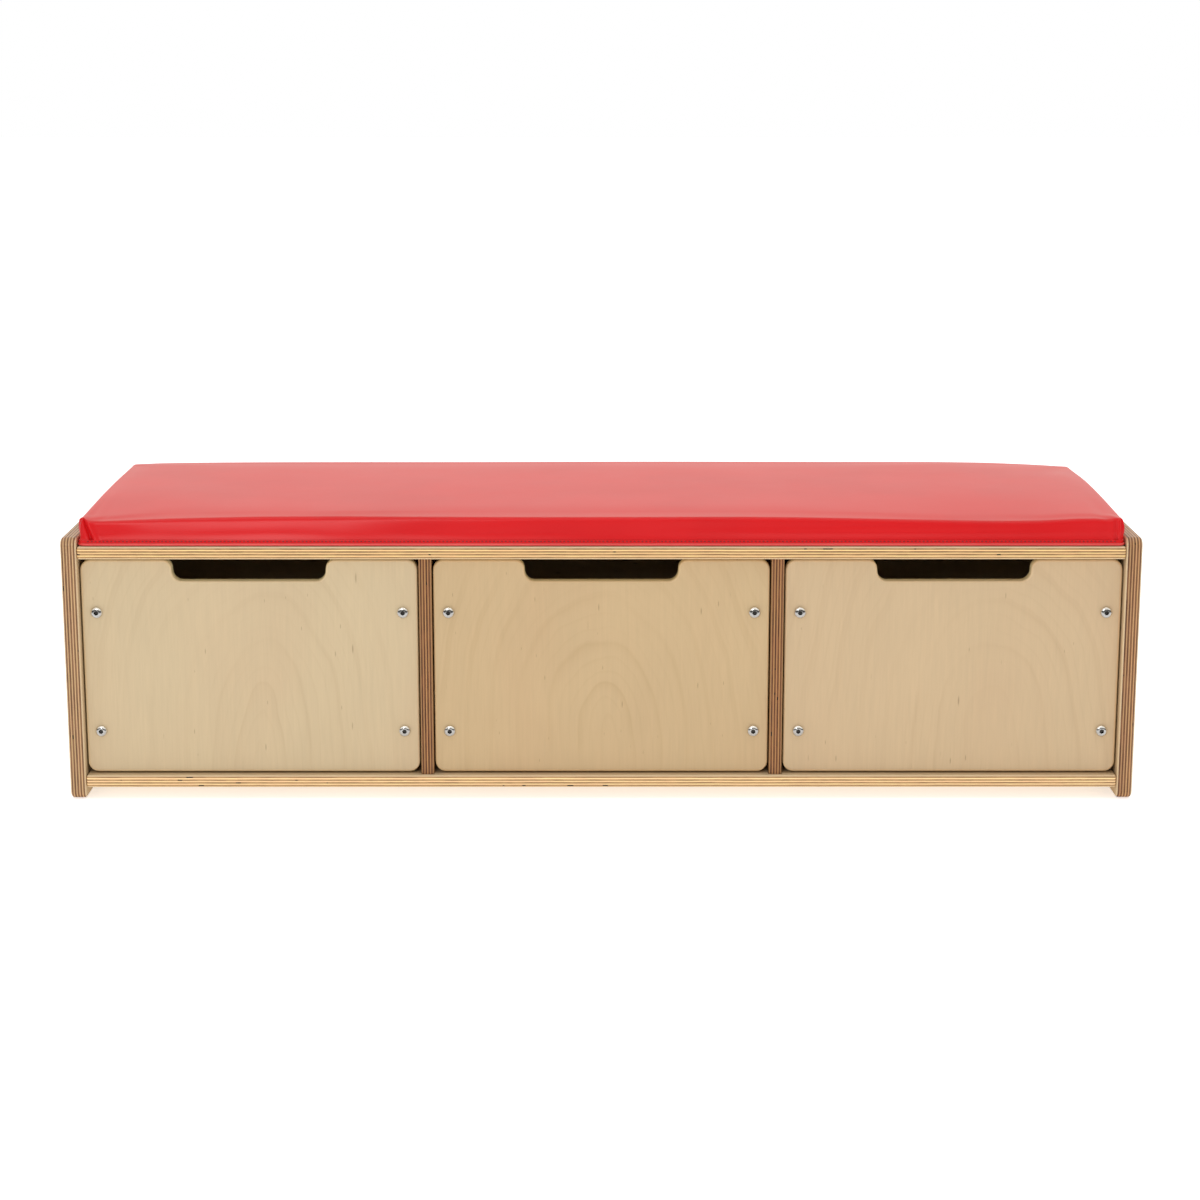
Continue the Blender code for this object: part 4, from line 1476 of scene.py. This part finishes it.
@dataclass
class Studio:
    """The pale floor, the soft lights and the camera."""

    lens: float = 78.0
    camera_place: tuple = (-0.0037, -2.503, 0.709)
    pitch: float = 12.39
    turn: float = -0.057
    floor_size: float = 30.0
    floor_glow: float = 0.50

    DARK_FLOOR = (-1.30, -0.70)

    def camera(self) -> None:
        """Place the camera."""
        data = bpy.data.cameras.new("camera")
        data.lens = self.lens
        data.sensor_width = 36.0
        data.clip_start = 0.05
        item = bpy.data.objects.new("camera", data)
        bpy.context.scene.collection.objects.link(item)
        item.location = self.camera_place
        item.rotation_euler = (math.radians(90 - self.pitch), 0, math.radians(self.turn))
        bpy.context.scene.camera = item

    def floor(self) -> None:
        """Lay the floor, which glows faintly and mirrors dark far ahead of the bench."""
        shape = bmesh.new()
        bmesh.ops.create_grid(shape, x_segments=1, y_segments=1, size=self.floor_size / 2)
        material, graph, shader = new_material("pale_floor")
        spot = graph.add("TexCoord").outputs["Object"]
        mirrored = graph.add("LightPath").outputs["Is Glossy Ray"]
        tone = graph.mix(graph.noise(spot, 3.0, 2.0), rgba(0.93, 0.93, 0.93), rgba(0.90, 0.90, 0.90))
        ahead = graph.add("SeparateXYZ", {0: spot}).outputs["Y"]
        near = graph.smooth(ahead, *self.DARK_FLOOR)
        mirror = graph.mix(near, rgba(0.08, 0.08, 0.08), rgba(0.80, 0.80, 0.80))
        tone = graph.mix(mirrored, tone, mirror)
        glow = graph.math("MULTIPLY", graph.math("SUBTRACT", 1.0, mirrored), self.floor_glow)
        graph.tree.links.new(tone, shader.inputs["Base Color"])
        graph.tree.links.new(glow, shader.inputs["Emission Strength"])
        shader.inputs["Emission Color"].default_value = rgba(1, 1, 1)
        shader.inputs["Roughness"].default_value = 0.9
        shader.inputs["Specular IOR Level"].default_value = 0.1
        mesh = to_mesh(shape, "floor")
        mesh.materials.append(material)
        item = bpy.data.objects.new("floor", mesh)
        bpy.context.scene.collection.objects.link(item)

    def lamp(self, name: str, place: Vector, aim: Vector, size: tuple[float, float],
             power: float) -> None:
        """Hang a soft rectangular light.

        Args:
            name: Its name.
            place: Where it hangs.
            aim: The point it faces.
            size: Its width and height, in metres.
            power: Its power, in watts.
        """
        data = bpy.data.lights.new(name, "AREA")
        data.shape = "RECTANGLE"
        data.size, data.size_y = size
        data.energy = power
        item = bpy.data.objects.new(name, data)
        bpy.context.scene.collection.objects.link(item)
        item.location = place
        item.rotation_euler = (aim - place).to_track_quat("-Z", "Y").to_euler()
        item.visible_camera = False

    def build(self) -> None:
        """Build the studio."""
        self.camera()
        self.floor()
        middle = Vector((0, 0, 0.15))
        self.lamp("overhead_light", Vector((0, -0.4, 2.4)), middle, (2.4, 0.5), 5.5)
        self.lamp("front_light", Vector((-0.70, -2.6, 1.25)), middle, (0.62, 0.8), 8.6)
        self.sky()
        bpy.context.scene.view_settings.view_transform = "Standard"

    def sky(self) -> None:
        """Surround the bench with white light, brighter from behind than from the front."""
        world = bpy.data.worlds.new("studio")
        world.use_nodes = True
        graph = Graph(world.node_tree)
        background = world.node_tree.nodes["Background"]
        way = graph.add("TexCoord").outputs["Generated"]
        parts = graph.add("SeparateXYZ", {0: way}).outputs
        back = graph.smooth(parts["Y"], -0.7, 0.5)
        level = graph.math("MULTIPLY_ADD", back, 0.50, 0.45)
        top = graph.math("MULTIPLY", graph.smooth(parts["Z"], 0.35, 0.9), 0.22)
        level = graph.math("ADD", level, top)
        ahead = graph.math("SUBTRACT", 1.0, graph.smooth(parts["Y"], -0.35, 0.25))
        low = graph.math("SUBTRACT", 1.0, graph.smooth(parts["Z"], 0.15, 0.42))
        mirror = graph.math("MULTIPLY_ADD", graph.math("MULTIPLY", ahead, low), -0.95, 1.03)
        path = graph.add("LightPath").outputs
        level = graph.add("Mix", {0: path["Is Glossy Ray"], 2: level, 3: mirror},
                          data_type="FLOAT").outputs[0]
        level = graph.add("Mix", {0: path["Is Camera Ray"], 2: level, 3: 1.0},
                          data_type="FLOAT").outputs[0]
        world.node_tree.links.new(level, background.inputs["Strength"])
        tint = graph.mix(path["Is Glossy Ray"], rgba(1, 1, 1), rgba(1.0, 0.96, 0.88))
        world.node_tree.links.new(tint, background.inputs["Color"])
        bpy.context.scene.world = world


def main() -> None:
    """Build the bench's finish and its studio."""
    Studio().build()
    steel = ZincSteel().material()
    Carcass(steel).build()
    # the fronts differ in tone as their veneers do; the left one is also lifted lighter, as painted
    # light falling from the left
    tones = ((0.99, 1.02, 1.02), (0.95, 0.90, 0.80), (0.985, 0.955, 0.925))
    for bay, seed, tone in zip(BAYS, (41.0, 56.55, 73.2), tones):
        Drawer(bay, steel, seed, tone).build()
    # painted highlight: the welt's vinyl is lighter than the cover's, standing in for the light its
    # rolled edge catches
    highlit_edge = Vinyl(colour=rgba(0.85, 0.100, 0.090), deep=rgba(0.78, 0.070, 0.065), roughness=0.30)
    Cushion(Vinyl().material("red_vinyl_finish"), highlit_edge.material("red_welt_finish"),
            Thread().material()).build()


if __name__ == "__main__":
    logging.basicConfig(level=logging.INFO, format="%(name)s: %(message)s")
    main()
